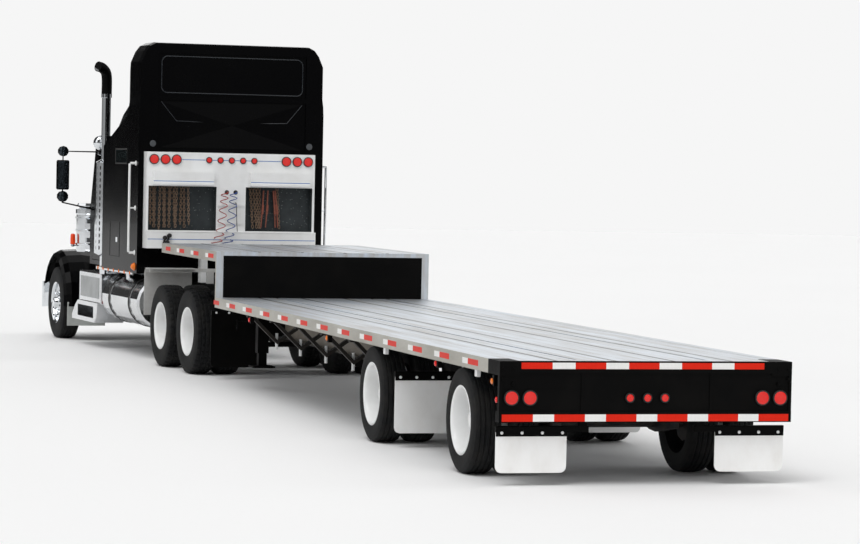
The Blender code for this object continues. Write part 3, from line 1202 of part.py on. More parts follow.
def make_rack():
    """The chain rack behind the sleeper: lamp header, two open bays, lift-up trays and a ribbed middle."""
    front, c, half = SLEEPER_REAR - GAP, RACK_CENTRE, RACK_HALF
    wide = (c - half, c + half)
    body = block(wide, (RACK_REAR, front), (RACK_BOTTOM_Z, RACK_TOP_Z))
    bay_x = [sorted((c + side * 0.20, c + side * (half - 0.03))) for side in (-1, 1)]
    combine(body, [block(x, (RACK_REAR - 0.1, front - 0.02), (1.728, 2.31)) for x in bay_x], "DIFFERENCE")
    trays = [block((x[0] + 0.05, x[1] - 0.05), (RACK_REAR - 0.06, RACK_REAR + 0.05), (2.33, 2.50))
             for x in bay_x]
    low_tray = block(wide, (RACK_REAR - RACK_TRAY_DEPTH, RACK_REAR + 0.05), (RACK_BOTTOM_Z, 1.72))
    ridges = [block((c - 0.18, c + 0.18), (RACK_REAR - 0.012, RACK_REAR + 0.02), (z - 0.014, z + 0.014))
              for z in (1.83, 2.07)]
    feet = both(block(FRAME_SEAT_X, (RACK_REAR + 0.02, front), (FRAME_TOP_Z + GAP, RACK_BOTTOM_Z + 0.02)))
    large = [c + side * (0.905 + i * 0.152) for side in (1, -1) for i in (1, 0, -1)]
    lamps = lamp_row(large, 2.66, 0.062, RACK_REAR, 0.015, 10)
    small = [c + i * SMALL_LAMP_PITCH for i in range(-2, 3)]
    lamps += lamp_row(small, 2.66, SMALL_LAMP_RADIUS, RACK_REAR, 0.012, 8)
    finish("chain_rack", "white enamel", TRACTOR, [body, *trays, low_tray, *ridges, *feet, *lamps])


def make_air_lines():
    """Two curly air lines that hang from the rack's middle, drawn as the space their coils take."""
    start = RACK_REAR - GAP
    tray = start - RACK_TRAY_DEPTH
    for name, finish_name, x, sway in (("red_air_line", "red hose", 0.06, 0.16),
                                       ("blue_air_line", "blue hose", -0.06, 0.13)):
        x += RACK_CENTRE
        route = [(x, start, 2.24), (x, start - 0.03, 2.24), (x, start - 0.05, 2.22),
                 (x, start - 0.055, 2.15), (x + 0.01, start - 0.06, 2.0),
                 (x + sway * 0.2, start - 0.08, 1.88),
                 (x + sway * 0.5, start - 0.12, 1.78), (x + sway * 0.8, start - 0.14, 1.68),
                 (x + sway, start - 0.135, 1.60), (x + sway, tray - 0.03, 1.57), (x + sway, tray, 1.57)]
        finish(name, finish_name, TRACTOR, [tube(route, 0.022, 2)])


def centre_on_origin():
    """Move the lorry so that the middle of its footprint is the origin and its tyres stand at zero."""
    bpy.context.view_layer.update()
    corners = [part.matrix_world @ vertex.co for part in LORRY.objects if part.type == "MESH"
               for vertex in part.data.vertices]
    for axis in (0, 1):
        spread = [corner[axis] for corner in corners]
        TRAILER.location[axis] -= (min(spread) + max(spread)) / 2
    bpy.context.view_layer.update()


def main():
    make_decks()
    make_bulkhead()
    make_trailer_frame()
    make_rear_bumper()
    make_landing_gear()
    make_trailer_axle("trailer_rear_axle", TRAILER_AXLES[0])
    make_trailer_axle("trailer_front_axle", TRAILER_AXLES[1])
    make_trailer_mudflaps()
    make_tractor_frame()
    make_fifth_wheel()
    make_drive_tandem()
    steering = make_steering()
    make_wheels(steering)
    make_engine()
    make_cab()
    make_doors()
    make_interior()
    make_sleeper()
    make_hood()
    make_front_bumper()
    make_air_cleaners()
    make_exhaust()
    make_tanks()
    make_step_boxes()
    make_quarter_fenders()
    make_tractor_mudflaps()
    make_rack()
    make_air_lines()
    centre_on_origin()
    bpy.data.collections.remove(WORKSHOP)


main()
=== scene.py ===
# %% [markdown]
# # Dressing an articulated flatbed lorry
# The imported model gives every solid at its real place: a long-nosed sleeper tractor hinged by its
# kingpin to a drop-deck trailer. This lesson adds what the eye looks for: tyres with tread,
# lamps, reflective tape, chains, hoses, rivets and the finish of every surface. Nothing here moves a
# solid; each new piece rides on the body that would carry it on the road.

# %% Load the frame
import json
import math

import bmesh
import bpy
import numpy as np
from mathutils import Matrix, Vector


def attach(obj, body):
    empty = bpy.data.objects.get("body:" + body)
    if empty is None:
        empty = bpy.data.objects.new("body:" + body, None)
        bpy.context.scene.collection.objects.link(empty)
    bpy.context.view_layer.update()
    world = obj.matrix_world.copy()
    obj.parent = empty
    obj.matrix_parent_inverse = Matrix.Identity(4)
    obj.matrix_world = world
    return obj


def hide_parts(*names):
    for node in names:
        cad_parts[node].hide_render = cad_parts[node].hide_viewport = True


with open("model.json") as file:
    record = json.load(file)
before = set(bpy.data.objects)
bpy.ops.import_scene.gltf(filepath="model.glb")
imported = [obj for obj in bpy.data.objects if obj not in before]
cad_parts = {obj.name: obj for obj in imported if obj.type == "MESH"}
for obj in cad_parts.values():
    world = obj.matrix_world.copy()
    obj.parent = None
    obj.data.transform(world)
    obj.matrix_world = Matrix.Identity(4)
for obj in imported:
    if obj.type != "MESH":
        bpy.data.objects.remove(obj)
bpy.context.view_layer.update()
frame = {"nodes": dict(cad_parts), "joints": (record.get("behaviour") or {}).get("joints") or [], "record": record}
JOINTS = {joint["name"]: joint for joint in frame["joints"]}

# %% [markdown]
# ## Two sets of axes
# A lorry is measured from its own parts: a trailer from its rear face and a tractor from its kingpin.
# The trailer stands square to the axes and the tractor is turned a little, so each has a function that
# takes (left, forward, up) and gives places in the scene. The turn is read from a wheel's axis.

# %% Places on the trailer and on the tractor
KINGPIN = np.array(JOINTS["kingpin"]["pos_m"], float)
REAR_AXLE_AT = 1.205
REAR_FACE_Y = JOINTS["trailer_rear_left_spin"]["pos_m"][1] + REAR_AXLE_AT
ACROSS = np.array(JOINTS["steer_left_spin"]["axis"], float)
AHEAD = np.array((ACROSS[1], -ACROSS[0], 0.0))
UP = np.array((0.0, 0.0, 1.0))


def on_trailer(grid):
    """Places (left of the centreline, forward of the rear face, up) as points of the scene."""
    return np.stack([KINGPIN[0] + grid[..., 0], REAR_FACE_Y - grid[..., 1], grid[..., 2]], axis=-1)


def on_tractor(grid):
    """Places (left, forward of the kingpin, up): kingpin plus each part along the turned axes."""
    return KINGPIN * (1, 1, 0) + grid[..., :1] * ACROSS + grid[..., 1:2] * AHEAD + grid[..., 2:] * UP


def from_tractor(point):
    """The opposite of on_tractor, for a point that is read from the model."""
    offset = np.array(point, float) - KINGPIN * (1, 1, 0)
    return np.array((offset @ ACROSS, offset @ AHEAD, offset[2]))


STEER_AXLE = from_tractor(JOINTS["steer_left_spin"]["pos_m"])[1]
print("tractor turned by", round(math.degrees(math.asin(ACROSS[1])), 2), "degrees; wheelbase", STEER_AXLE)

# %% [markdown]
# ## Camera
# The picture was taken with a long lens from behind and to the left, about 2.6 m above the ground. Its
# place, turn and lens follow from where the deck's corners, the rail tape and the wheels fall in the
# frame, so the camera is set first.

# %% The camera behind the trailer
PHOTO_WIDTH = 860
CAMERA_PLACE = (8.866, -24.331, 2.642)
CAMERA_YAW, CAMERA_PITCH, CAMERA_ROLL = (math.radians(angle) for angle in (15.953, 1.957, 1.197))
FOCAL_PIXELS = 3097.6
SENSOR_MM = 36.0

look = Vector((-math.sin(CAMERA_YAW) * math.cos(CAMERA_PITCH),
               -math.cos(CAMERA_YAW) * math.cos(CAMERA_PITCH), -math.sin(CAMERA_PITCH)))
level = look.cross(Vector((0, 0, 1))).normalized()
upright = level.cross(look)
right_hand = math.cos(CAMERA_ROLL) * level + math.sin(CAMERA_ROLL) * upright
up_hand = -math.sin(CAMERA_ROLL) * level + math.cos(CAMERA_ROLL) * upright
lens = bpy.data.cameras.new("portrait_lens")
lens.sensor_width = SENSOR_MM
lens.lens = FOCAL_PIXELS * SENSOR_MM / PHOTO_WIDTH
lens.clip_end = 500
camera = bpy.data.objects.new("portrait_camera", lens)
bpy.context.scene.collection.objects.link(camera)
turn = Matrix((right_hand, up_hand, -look)).transposed().to_4x4()
camera.matrix_world = Matrix.Translation(Vector(on_trailer(np.array(CAMERA_PLACE)))) @ turn
bpy.context.scene.camera = camera
print("lens", round(lens.lens, 1), "mm")

# %% [markdown]
# ## Surfaces from grids
# Every new piece is a sheet of points on a grid of rows and columns, worked out by a formula. A wheel,
# a hose and a rivet differ only in the formula. One function turns a list of such grids into one
# object, merges the doubled points where a grid closes, and makes its faces point outwards.

# %% Grids into objects
def grid_faces(rows, columns, wrap_rows, wrap_columns):
    """Corner numbers of the cells: (row, column), its right neighbour, the next row's two."""
    row, column = np.meshgrid(np.arange(rows if wrap_rows else rows - 1),
                              np.arange(columns if wrap_columns else columns - 1), indexing="ij")
    below, beside = (row + 1) % rows, (column + 1) % columns
    return np.stack([row * columns + column, row * columns + beside, below * columns + beside,
                     below * columns + column], axis=-1).reshape(-1, 4)


def build(name, grids, material, body, place=None, wrap=(False, True), smooth_deg=40):
    """One object from grids of (left, forward, up), each of (rows, columns, 3) or many of them.

    Unless another place is given, they are measured on the trailer or the tractor, as the body is.
    """
    place = place or (on_trailer if body == "trailer" else on_tractor)
    points, faces, start = [], [], 0
    for grid in grids:
        rows, columns = grid.shape[-3:-1]
        many = place(grid).reshape(-1, rows * columns, 3)
        quads = grid_faces(rows, columns, *wrap)
        copies = start + np.arange(len(many)) * rows * columns
        faces.append((quads + copies[:, None, None]).reshape(-1, 4))
        points.append(many.reshape(-1, 3))
        start += len(many) * rows * columns
    mesh = bpy.data.meshes.new(name)
    mesh.from_pydata(np.concatenate(points).tolist(), [], np.concatenate(faces).tolist())
    shape = bmesh.new()
    shape.from_mesh(mesh)
    bmesh.ops.remove_doubles(shape, verts=shape.verts[:], dist=1e-5)
    bmesh.ops.recalc_face_normals(shape, faces=shape.faces[:])
    shape.to_mesh(mesh)
    shape.free()
    mesh.shade_smooth()
    mesh.set_sharp_from_angle(angle=math.radians(smooth_deg))
    mesh.materials.append(material)
    thing = bpy.data.objects.new(name, mesh)
    bpy.context.scene.collection.objects.link(thing)
    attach(thing, body)
    print(name, len(mesh.polygons), "faces")
    return thing


def spun(profile, axis, centre=(0, 0, 0), sides=24):
    """A profile of (radius, along) turned about an axis: 0 is left, 1 forward and 2 up.

    Point = centre + along on the axis + radius x (cosine, sine) of the turn on the other two. Many
    centres give many copies.
    """
    profile = np.asarray(profile, float)
    angle = np.linspace(0, 2 * np.pi, sides, endpoint=False)
    grid = np.empty((len(profile), sides, 3))
    grid[..., axis] = profile[:, 1, None]
    grid[..., (axis + 1) % 3] = profile[:, :1] * np.cos(angle)
    grid[..., (axis + 2) % 3] = profile[:, :1] * np.sin(angle)
    return grid + np.asarray(centre, float)[..., None, None, :]


def bar(low, high, edge=0.002):
    """Boxes with broken edges between two corners; many corners give many boxes.

    Rows go from the middle of the bottom out to its rim, up the four sides and in to the top's middle.
    """
    low, high = np.broadcast_arrays(np.asarray(low, float), np.asarray(high, float))
    middle, half = (low + high) / 2, np.abs(high - low) / 2
    edge = np.minimum(edge, half.min(axis=-1) * 0.9)[..., None]
    corners = np.array([(-1, -1), (1, -1), (1, 1), (-1, 1)], float)
    inner = corners * (half[..., None, :2] - edge[..., None])
    outer = corners * half[..., None, :2]
    flat = np.stack([inner * 0, inner, outer, outer, inner, inner * 0], axis=-3)
    tall, brim = half[..., 2], half[..., 2] - edge[..., 0]
    steps = np.stack([-tall, -tall, -brim, brim, tall, tall], axis=-1)
    height = np.broadcast_to(steps[..., None, None], (*flat.shape[:-1], 1))
    return np.concatenate([flat, height], axis=-1) + middle[..., None, None, :]


SIDES = (1, -1)
ALONG = (0, 1, 0)


def row_of(left, ahead, up):
    """Places from three numbers, each of which may be a list."""
    parts = np.broadcast_arrays(*(np.atleast_1d(np.asarray(part, float)) for part in (left, ahead, up)))
    return np.stack(parts, axis=-1)


def both(left, ahead, up):
    """The same places, and then their mirror images on the right."""
    row = row_of(left, ahead, up)
    return np.concatenate([row, row * (-1, 1, 1)])


def mirrored(low, high, edge=0.002):
    """Boxes on the left and their mirror images on the right."""
    return [bar(np.array(low) * (side, 1, 1), np.array(high) * (side, 1, 1), edge) for side in SIDES]


def hoop(inner, outer, foot, crown):
    """Profile of a band round something: half its width at its foot and at its crown."""
    return [(inner, -foot), (outer, -crown), (outer, crown), (inner, foot)]


def domed(radius, rise, base, steps):
    """Profile of a dome: height = rise x root of (1 - share squared), closed by a flat base."""
    arc = [(radius * share, rise * math.sqrt(1 - share**2)) for share in np.linspace(0, 1, steps)]
    return arc + [(radius, base), (0, base)]


def piped(path, radius, sides=10, reference=(0, 0, 1)):
    """A tube along a path of (left, forward, up) places.

    At each place the ring is spanned by two directions square to the path: path x reference, and that
    crossed with the path again. The ends close on their own middles.
    """
    path = np.asarray(path, float)
    along = np.gradient(path, axis=0)
    along /= np.linalg.norm(along, axis=1, keepdims=True)
    first = np.cross(along, np.asarray(reference, float))
    first /= np.linalg.norm(first, axis=1, keepdims=True)
    second = np.cross(along, first)
    angle = np.linspace(0, 2 * np.pi, sides, endpoint=False)[:, None]
    radius = np.broadcast_to(radius, len(path))[:, None, None]
    rings = path[:, None] + radius * (np.cos(angle) * first[:, None] + np.sin(angle) * second[:, None])
    closed = np.ones((1, sides, 1))
    return np.concatenate([path[0] * closed, rings, path[-1] * closed])


def curved(points, count):
    """A smooth path through a few places: a cubic blend of each stretch with its neighbours' slopes."""
    points = np.asarray(points, float)
    slope = np.gradient(points, axis=0)
    at = np.linspace(0, len(points) - 1, count)
    index = np.minimum(at.astype(int), len(points) - 2)
    share = (at - index)[:, None]
    near, far = points[index], points[index + 1]
    return ((2 * share**3 - 3 * share**2 + 1) * near + (share**3 - 2 * share**2 + share) * slope[index]
            + (3 * share**2 - 2 * share**3) * far + (share**3 - share**2) * slope[index + 1])


# %% [markdown]
# ## Materials
# A material is a small graph of nodes. One function adds a node, sets its values and links its inputs;
# another turns a hex colour into the linear numbers that light needs. Patterns read Object
# coordinates, which are metres here, so a noise of scale 1000 has grains of about a millimetre.

# %% Colours and nodes
def linear(colour):
    """sRGB hex to linear: c / 12.92 below 0.04045, else ((c + 0.055) / 1.055) to the power 2.4."""
    parts = np.array([int(colour[i:i + 2], 16) / 255 for i in (0, 2, 4)])
    return (*np.where(parts <= 0.04045, parts / 12.92, ((parts + 0.055) / 1.055) ** 2.4).tolist(), 1.0)


def connect(tree, node, inputs):
    """Fill sockets: another node's output is linked, and anything else is the socket's own value."""
    for key, value in inputs.items():
        if isinstance(value, bpy.types.NodeSocket):
            tree.links.new(value, node.inputs[key])
        else:
            node.inputs[key].default_value = value


def add_node(tree, kind, inputs=None, **settings):
    """One node with its settings; inputs maps a socket to a value or to another node's output."""
    node = tree.nodes.new(kind)
    for key, value in settings.items():
        setattr(node, key, value)
    connect(tree, node, inputs or {})
    return node


def new_material(name):
    """An empty material and its tree, Principled shader and Object coordinates."""
    material = bpy.data.materials.new(name)
    material.use_nodes = True
    tree = material.node_tree
    places = add_node(tree, "ShaderNodeTexCoord").outputs["Object"]
    return material, tree, tree.nodes["Principled BSDF"], places


DIRT_FROM, DIRT_TO = 0.42, 0.75


def weathered(name, colour, dirt, roughness, metallic=0.0, patch_mm=400, grain_mm=2, dirt_share=0.4,
              bump=0.05, streak=(1, 1, 1), coat=0.0, specular=0.5):
    """A finish with soft patches of dirt, roughness that follows them, and a fine grain in relief.

    Dirt = patches of noise, sharpened and scaled; roughness = clean value plus a part of the dirt.
    """
    material, tree, shader, places = new_material(name)
    stretched = add_node(tree, "ShaderNodeMapping", {"Vector": places, "Scale": streak}).outputs[0]
    patches = add_node(tree, "ShaderNodeTexNoise", {"Vector": stretched, "Scale": 1000 / patch_mm,
                                                    "Detail": 6.0, "Roughness": 0.6})
    share = add_node(tree, "ShaderNodeMapRange", {"Value": patches.outputs["Fac"], "From Min": DIRT_FROM,
                                                  "From Max": DIRT_TO, "To Max": dirt_share}).outputs[0]
    finish = add_node(tree, "ShaderNodeMix", {0: share, 6: linear(colour), 7: linear(dirt)},
                      data_type="RGBA")
    rough = add_node(tree, "ShaderNodeMapRange", {"Value": share, "To Min": roughness,
                                                  "To Max": min(1.0, roughness + 0.5)})
    grain = add_node(tree, "ShaderNodeTexNoise", {"Vector": places, "Scale": 1000 / grain_mm, "Detail": 2.0})
    relief = add_node(tree, "ShaderNodeBump", {"Height": grain.outputs["Fac"], "Strength": bump,
                                               "Distance": 0.002})
    connect(tree, shader, {"Base Color": finish.outputs[2], "Metallic": metallic,
                           "Roughness": rough.outputs[0], "Normal": relief.outputs[0],
                           "Coat Weight": coat, "Coat Roughness": 0.04, "Specular IOR Level": specular})
    return material


# %% [markdown]
# ## The plain finishes
# Most surfaces are paint, plated steel, polished aluminium, rubber or plastic. Each has its own gloss
# and its own kind of dirt: road film on the chassis, water marks on aluminium, dust on rubber.

# %% Finishes shared by many pieces
# Two-pack black coach paint: deep black with a faint, narrow gloss and a little dust
GLOSS_BLACK = weathered("polished_black_coach_paint", "040405", "12120F", 0.16, 0.0, 900, 1.5, 0.10, 0.006,
                        coat=0.05, specular=0.03)
# Satin black chassis enamel with road film: the dirt is lighter than the paint
CHASSIS_BLACK = weathered("satin_black_chassis_enamel", "050505", "1B1917", 0.5, 0.0, 250, 2, 0.25, 0.05,
                          specular=0.06)
# White stove enamel on the wheels and the rack, washed but not polished
WHITE_ENAMEL = weathered("white_stove_enamel", "EDEEEE", "B9B4AA", 0.28, 0.0, 300, 2, 0.22, 0.02, coat=0.3)
# Chromium plate: the default metal reflectance, very low roughness
CHROME = weathered("chromium_plate", "DFE2E5", "8E8C88", 0.05, 1.0, 350, 2, 0.12, 0.004)
# Hand-polished aluminium of tanks and steps: bright, a little softer than chrome
POLISHED_ALUMINIUM = weathered("hand_polished_aluminium", "DADCDE", "8F8F8D", 0.13, 1.0, 300, 3, 0.20, 0.012,
                               streak=(1, 0.25, 1))
# Cast iron hubs and axles, painted black and covered in dry road dust
CAST_IRON = weathered("black_cast_iron", "17171A", "5D554B", 0.6, 0.2, 160, 3, 0.55, 0.15)
# Hot-dip galvanised and dusty steel under the deck
GALVANISED = weathered("dusty_galvanised_steel", "85817A", "5B5246", 0.5, 0.55, 180, 6, 0.6, 0.08)
# Moulded polypropylene flaps, white with splash marks
WHITE_FLAP = weathered("white_moulded_polypropylene", "FBFBFA", "CFCAC2", 0.48, 0.0, 220, 1, 0.30, 0.03,
                       streak=(1, 1, 0.5))
# Charcoal vinyl and foam inside the cab
CAB_TRIM = weathered("charcoal_cab_vinyl", "3C3D40", "1D1D1F", 0.7, 0.0, 120, 1.5, 0.5, 0.2)
# Rubber mouldings and bezels; the same black is also painted shade in the wheels' hand holes and the exhaust
# guards' slots
BLACK_RUBBER_AND_HOLE_SHADE = weathered("moulded_black_rubber", "131314", "48443E", 0.65, 0.0, 100, 1, 0.35, 0.1)
# Old lashing chain: red-brown rust over worn steel
CHAIN_STEEL = weathered("rusty_lashing_chain", "6A5546", "B59A80", 0.6, 0.15, 12, 2, 0.9, 0.4)
# Red enamel of the load binders
BINDER_RED = weathered("chipped_red_enamel", "93503F", "5E4438", 0.5, 0.1, 25, 2, 0.8, 0.2)
# Brushed stainless sheet of the guards ahead of the drive tyres, dulled by spray
BRUSHED_STAINLESS = weathered("brushed_stainless_sheet", "D6D6D4", "A8A19A", 0.42, 0.45, 200, 2, 0.5, 0.03)
print("finishes", len(bpy.data.materials))

# %% [markdown]
# ## Deck floor
# The floor is aluminium planks that run the length of the deck, with a fine ribbed face, a seam at
# every plank and four wide dark joints. Seen from behind the seams and ribs are what shows, with water
# marks drawn out along them, so each is a band pattern across the deck with its real width.

# %% Deck planks
WAVE_UNIT = 2 * math.pi / 20
PLANK_WIDTH = 0.18
RIB_WIDTH = 0.030
JOINT_PLACES = (0.26, 0.78)
JOINT_HALF = 0.018
DECK_HEIGHTS = (1.05, 1.59)
FLOOR_EDGE = (1.192, 1.196)
RAIL_FACE = 1.2951


def from_middle(tree, places):
    """Two outputs: the distance from the trailer's middle line, and the height."""
    centred = add_node(tree, "ShaderNodeMapping", {"Vector": places, "Location": (-float(KINGPIN[0]), 0, 0)})
    split = add_node(tree, "ShaderNodeSeparateXYZ", {"Vector": centred.outputs[0]})
    aside = add_node(tree, "ShaderNodeMath", {0: split.outputs["X"]}, operation="ABSOLUTE")
    return aside.outputs[0], split.outputs["Z"]


deck_floor, tree, shader, places = new_material("ribbed_aluminium_planks")
aside, height = from_middle(tree, places)
ribs, seams = (add_node(tree, "ShaderNodeTexWave", {"Vector": places, "Scale": WAVE_UNIT / width,
                                                    "Distortion": 0.0},
                        wave_type="BANDS", bands_direction="X", wave_profile=profile).outputs["Fac"]
               for width, profile in ((RIB_WIDTH, "SIN"), (PLANK_WIDTH, "SAW")))
seam = add_node(tree, "ShaderNodeMapRange", {"Value": seams, "From Max": 0.03, "To Min": 1.0,
                                             "To Max": 0.0}).outputs[0]
floor_share = add_node(tree, "ShaderNodeMapRange", {"Value": aside, "From Min": FLOOR_EDGE[0],
                                                    "From Max": FLOOR_EDGE[1], "To Min": 1.0,
                                                    "To Max": 0.0}).outputs[0]
low_deck, high_deck = (add_node(tree, "ShaderNodeMath", {0: height, 1: level, 2: 0.004},
                                operation="COMPARE").outputs[0] for level in DECK_HEIGHTS)
levels = add_node(tree, "ShaderNodeMath", {0: low_deck, 1: high_deck}, operation="ADD").outputs[0]
on_floor = add_node(tree, "ShaderNodeMath", {0: floor_share, 1: levels}, operation="MULTIPLY").outputs[0]
outer_face = add_node(tree, "ShaderNodeMath", {0: aside, 1: RAIL_FACE}, operation="GREATER_THAN").outputs[0]
drawn = add_node(tree, "ShaderNodeMapping", {"Vector": places, "Scale": (6.0, 0.35, 1.0)}).outputs[0]
marks = add_node(tree, "ShaderNodeTexNoise", {"Vector": drawn, "Scale": 1.6, "Detail": 7.0,
                                              "Roughness": 0.65}).outputs["Fac"]
mark = add_node(tree, "ShaderNodeMapRange", {"Value": marks, "From Min": 0.35, "From Max": 0.7,
                                             "To Max": 0.75}).outputs[0]
metal, rail = (add_node(tree, "ShaderNodeMix", {0: mark, 6: linear(bright), 7: linear(dull)},
                        data_type="RGBA").outputs[2]
               for bright, dull in (("CBD4DE", "AFA89E"), ("BDBBB2", "99958B")))
clean = add_node(tree, "ShaderNodeMix", {0: outer_face, 6: metal, 7: rail}, data_type="RGBA").outputs[2]
near_joint, far_joint = (add_node(tree, "ShaderNodeMath", {0: aside, 1: at, 2: JOINT_HALF},
                                  operation="COMPARE").outputs[0] for at in JOINT_PLACES)
joints = add_node(tree, "ShaderNodeMath", {0: near_joint, 1: far_joint}, operation="ADD").outputs[0]
lines = add_node(tree, "ShaderNodeMath", {0: seam, 1: joints}, operation="MAXIMUM").outputs[0]
line_share = add_node(tree, "ShaderNodeMath", {0: lines, 1: on_floor}, operation="MULTIPLY").outputs[0]
colour = add_node(tree, "ShaderNodeMix", {0: line_share, 6: clean, 7: linear("24282E")}, data_type="RGBA")
gloss = add_node(tree, "ShaderNodeMapRange", {"Value": mark, "To Min": 0.30, "To Max": 0.52})
rib_height = add_node(tree, "ShaderNodeMath", {0: ribs, 1: floor_share}, operation="MULTIPLY").outputs[0]
relief = add_node(tree, "ShaderNodeBump", {"Height": rib_height, "Strength": 0.25, "Distance": 0.003})
connect(tree, shader, {"Base Color": colour.outputs[2], "Metallic": 0.75, "Roughness": gloss.outputs[0],
                       "Normal": relief.outputs[0]})
print("planks of", PLANK_WIDTH, "m")

# %% [markdown]
# ## Rubber, glass and lamps
# Tyre rubber is dark with patches of pale dust. Window glass lets light through, with a tint.
# Lamp lenses are coloured acrylic with moulded prisms, drawn as small cells in relief. Reflective tape
# is red or white film over a honeycomb that shows as a fine net.

# %% Rubber, glass, lenses and tape
TYRE_RUBBER = weathered("tyre_rubber", "101113", "3A3834", 0.75, 0.0, 140, 1.5, 0.4, 0.12, specular=0.25)
HOSE_RED = weathered("red_nylon_hose", "9E231D", "5E1A17", 0.38, 0.0, 60, 1, 0.4, 0.03)
HOSE_BLUE = weathered("blue_nylon_hose", "20458C", "172C57", 0.38, 0.0, 60, 1, 0.4, 0.03)

window_glass, tree, shader, places = new_material("tinted_laminated_glass")
smear = add_node(tree, "ShaderNodeTexNoise", {"Vector": places, "Scale": 3.0, "Detail": 5.0})
film = add_node(tree, "ShaderNodeMapRange", {"Value": smear.outputs["Fac"], "To Min": 0.01, "To Max": 0.08})
connect(tree, shader, {"Roughness": film.outputs[0], "Base Color": linear("3B4A4C"), "IOR": 1.52,
                       "Transmission Weight": 0.85})


def lens_of(name, colour, glow, cell_mm=6):
    """Acrylic over prisms: the colour, a little lit from within, and cells in relief."""
    material, tree, shader, places = new_material(name)
    prisms = add_node(tree, "ShaderNodeTexVoronoi", {"Vector": places, "Scale": 1000 / cell_mm,
                                                     "Randomness": 0.1}, feature="F1").outputs["Distance"]
    relief = add_node(tree, "ShaderNodeBump", {"Height": prisms, "Strength": 0.5, "Distance": 0.002})
    share = add_node(tree, "ShaderNodeMapRange", {"Value": prisms, "To Max": 0.3})
    tone = add_node(tree, "ShaderNodeMix", {0: share.outputs[0], 6: linear(colour), 7: linear(glow)},
                    data_type="RGBA").outputs[2]
    connect(tree, shader, {"Base Color": tone, "Emission Color": tone, "Normal": relief.outputs[0],
                           "Emission Strength": 0.12, "Roughness": 0.12, "Coat Weight": 0.12})
    return material


def tape_of(name, colour, net):
    """Prismatic film: flat colour with a honeycomb net of slightly darker lines, 12 mm apart."""
    material, tree, shader, places = new_material(name)
    comb = add_node(tree, "ShaderNodeTexVoronoi", {"Vector": places, "Scale": 1000 / 12, "Randomness": 0.0},
                    feature="DISTANCE_TO_EDGE")
    line = add_node(tree, "ShaderNodeMapRange", {"Value": comb.outputs["Distance"], "From Max": 0.12,
                                                 "To Min": 1.0, "To Max": 0.0})
    dust = add_node(tree, "ShaderNodeTexNoise", {"Vector": places, "Scale": 7.0, "Detail": 4.0})
    haze = add_node(tree, "ShaderNodeMath", {0: line.outputs[0], 1: dust.outputs["Fac"]},
                    operation="MULTIPLY")
    film = add_node(tree, "ShaderNodeMix", {0: haze.outputs[0], 6: linear(colour), 7: linear(net)},
                    data_type="RGBA")
    connect(tree, shader, {"Base Color": film.outputs[2], "Roughness": 0.4, "Specular IOR Level": 0.15})
    return material


LENS_ORANGE = lens_of("orange_acrylic_lens", "E2380C", "FF6A20")
LENS_RED = lens_of("red_acrylic_lens", "D01008", "FF2A14")
LENS_AMBER = lens_of("amber_acrylic_lens", "D9650B", "FFA53A")
LENS_CLEAR = lens_of("clear_polycarbonate_lens", "D8DDE0", "FFFFFF", 14)
TAPE_RED = tape_of("red_reflective_tape", "E0240C", "A81C0E")
TAPE_WHITE = tape_of("white_reflective_tape", "F2F2F0", "BDBDBB")
print("materials", len(bpy.data.materials))

# %% [markdown]
# ## Two tones under the deck
# The main beams and the crossmembers between them carry pale road dust, while the outriggers beside
# them are black enamel. Both are one welded solid, so the finish changes with the distance from the
# trailer's middle line: the step is sharp, at the beams' outer flange.

# %% Dusty beams and dark outriggers
BEAM_OUTER_X = 0.60
two_tone_frame, tree, shader, places = new_material("dusty_beams_and_black_outriggers")
aside, height = from_middle(tree, places)
beyond = add_node(tree, "ShaderNodeMapRange", {"Value": aside, "From Min": BEAM_OUTER_X,
                                               "From Max": BEAM_OUTER_X + 0.004}).outputs[0]
dust = add_node(tree, "ShaderNodeTexNoise", {"Vector": places, "Scale": 5.0, "Detail": 6.0}).outputs["Fac"]
tan, dark = (add_node(tree, "ShaderNodeMix", {0: dust, 6: linear(thin), 7: linear(thick)},
                      data_type="RGBA").outputs[2]
             for thin, thick in (("8A847A", "5E564C"), ("141414", "332E29")))
both_tones = add_node(tree, "ShaderNodeMix", {0: beyond, 6: tan, 7: dark}, data_type="RGBA")
connect(tree, shader, {"Base Color": both_tones.outputs[2], "Roughness": 0.6, "Specular IOR Level": 0.25})
print("outriggers begin", BEAM_OUTER_X, "m from the middle")

# %% [markdown]
# ## Each solid gets its finish
# The record lists a slot for every node. The slots are general, and a few nodes need a closer
# match than their slot: the frame and the quarter fenders. The deck's own finish is ribbed where the
# rails are smooth.

# %% Finish the carried-over solids
SLOT_FINISH = {
    "aluminium_deck": deck_floor, "galvanised_steel": GALVANISED, "black_steel": CHASSIS_BLACK,
    "black_paint": GLOSS_BLACK, "white_enamel": WHITE_ENAMEL, "cast_iron": CAST_IRON, "chrome": CHROME,
    "polished_aluminium": POLISHED_ALUMINIUM, "tyre": TYRE_RUBBER, "glass": window_glass,
    "grey_trim": CAB_TRIM, "white_plastic": WHITE_FLAP, "red_hose": HOSE_RED, "blue_hose": HOSE_BLUE,
}
NODE_FINISH = {"trailer_frame": two_tone_frame, "quarter_fenders": BRUSHED_STAINLESS}
for subpart in frame["record"]["subparts"]:
    node = frame["nodes"][subpart["node"]]
    node.data.materials.clear()
    node.data.materials.append(NODE_FINISH.get(subpart["node"], SLOT_FINISH[subpart["material_slot"]]))
print("solids finished", len(frame["nodes"]))
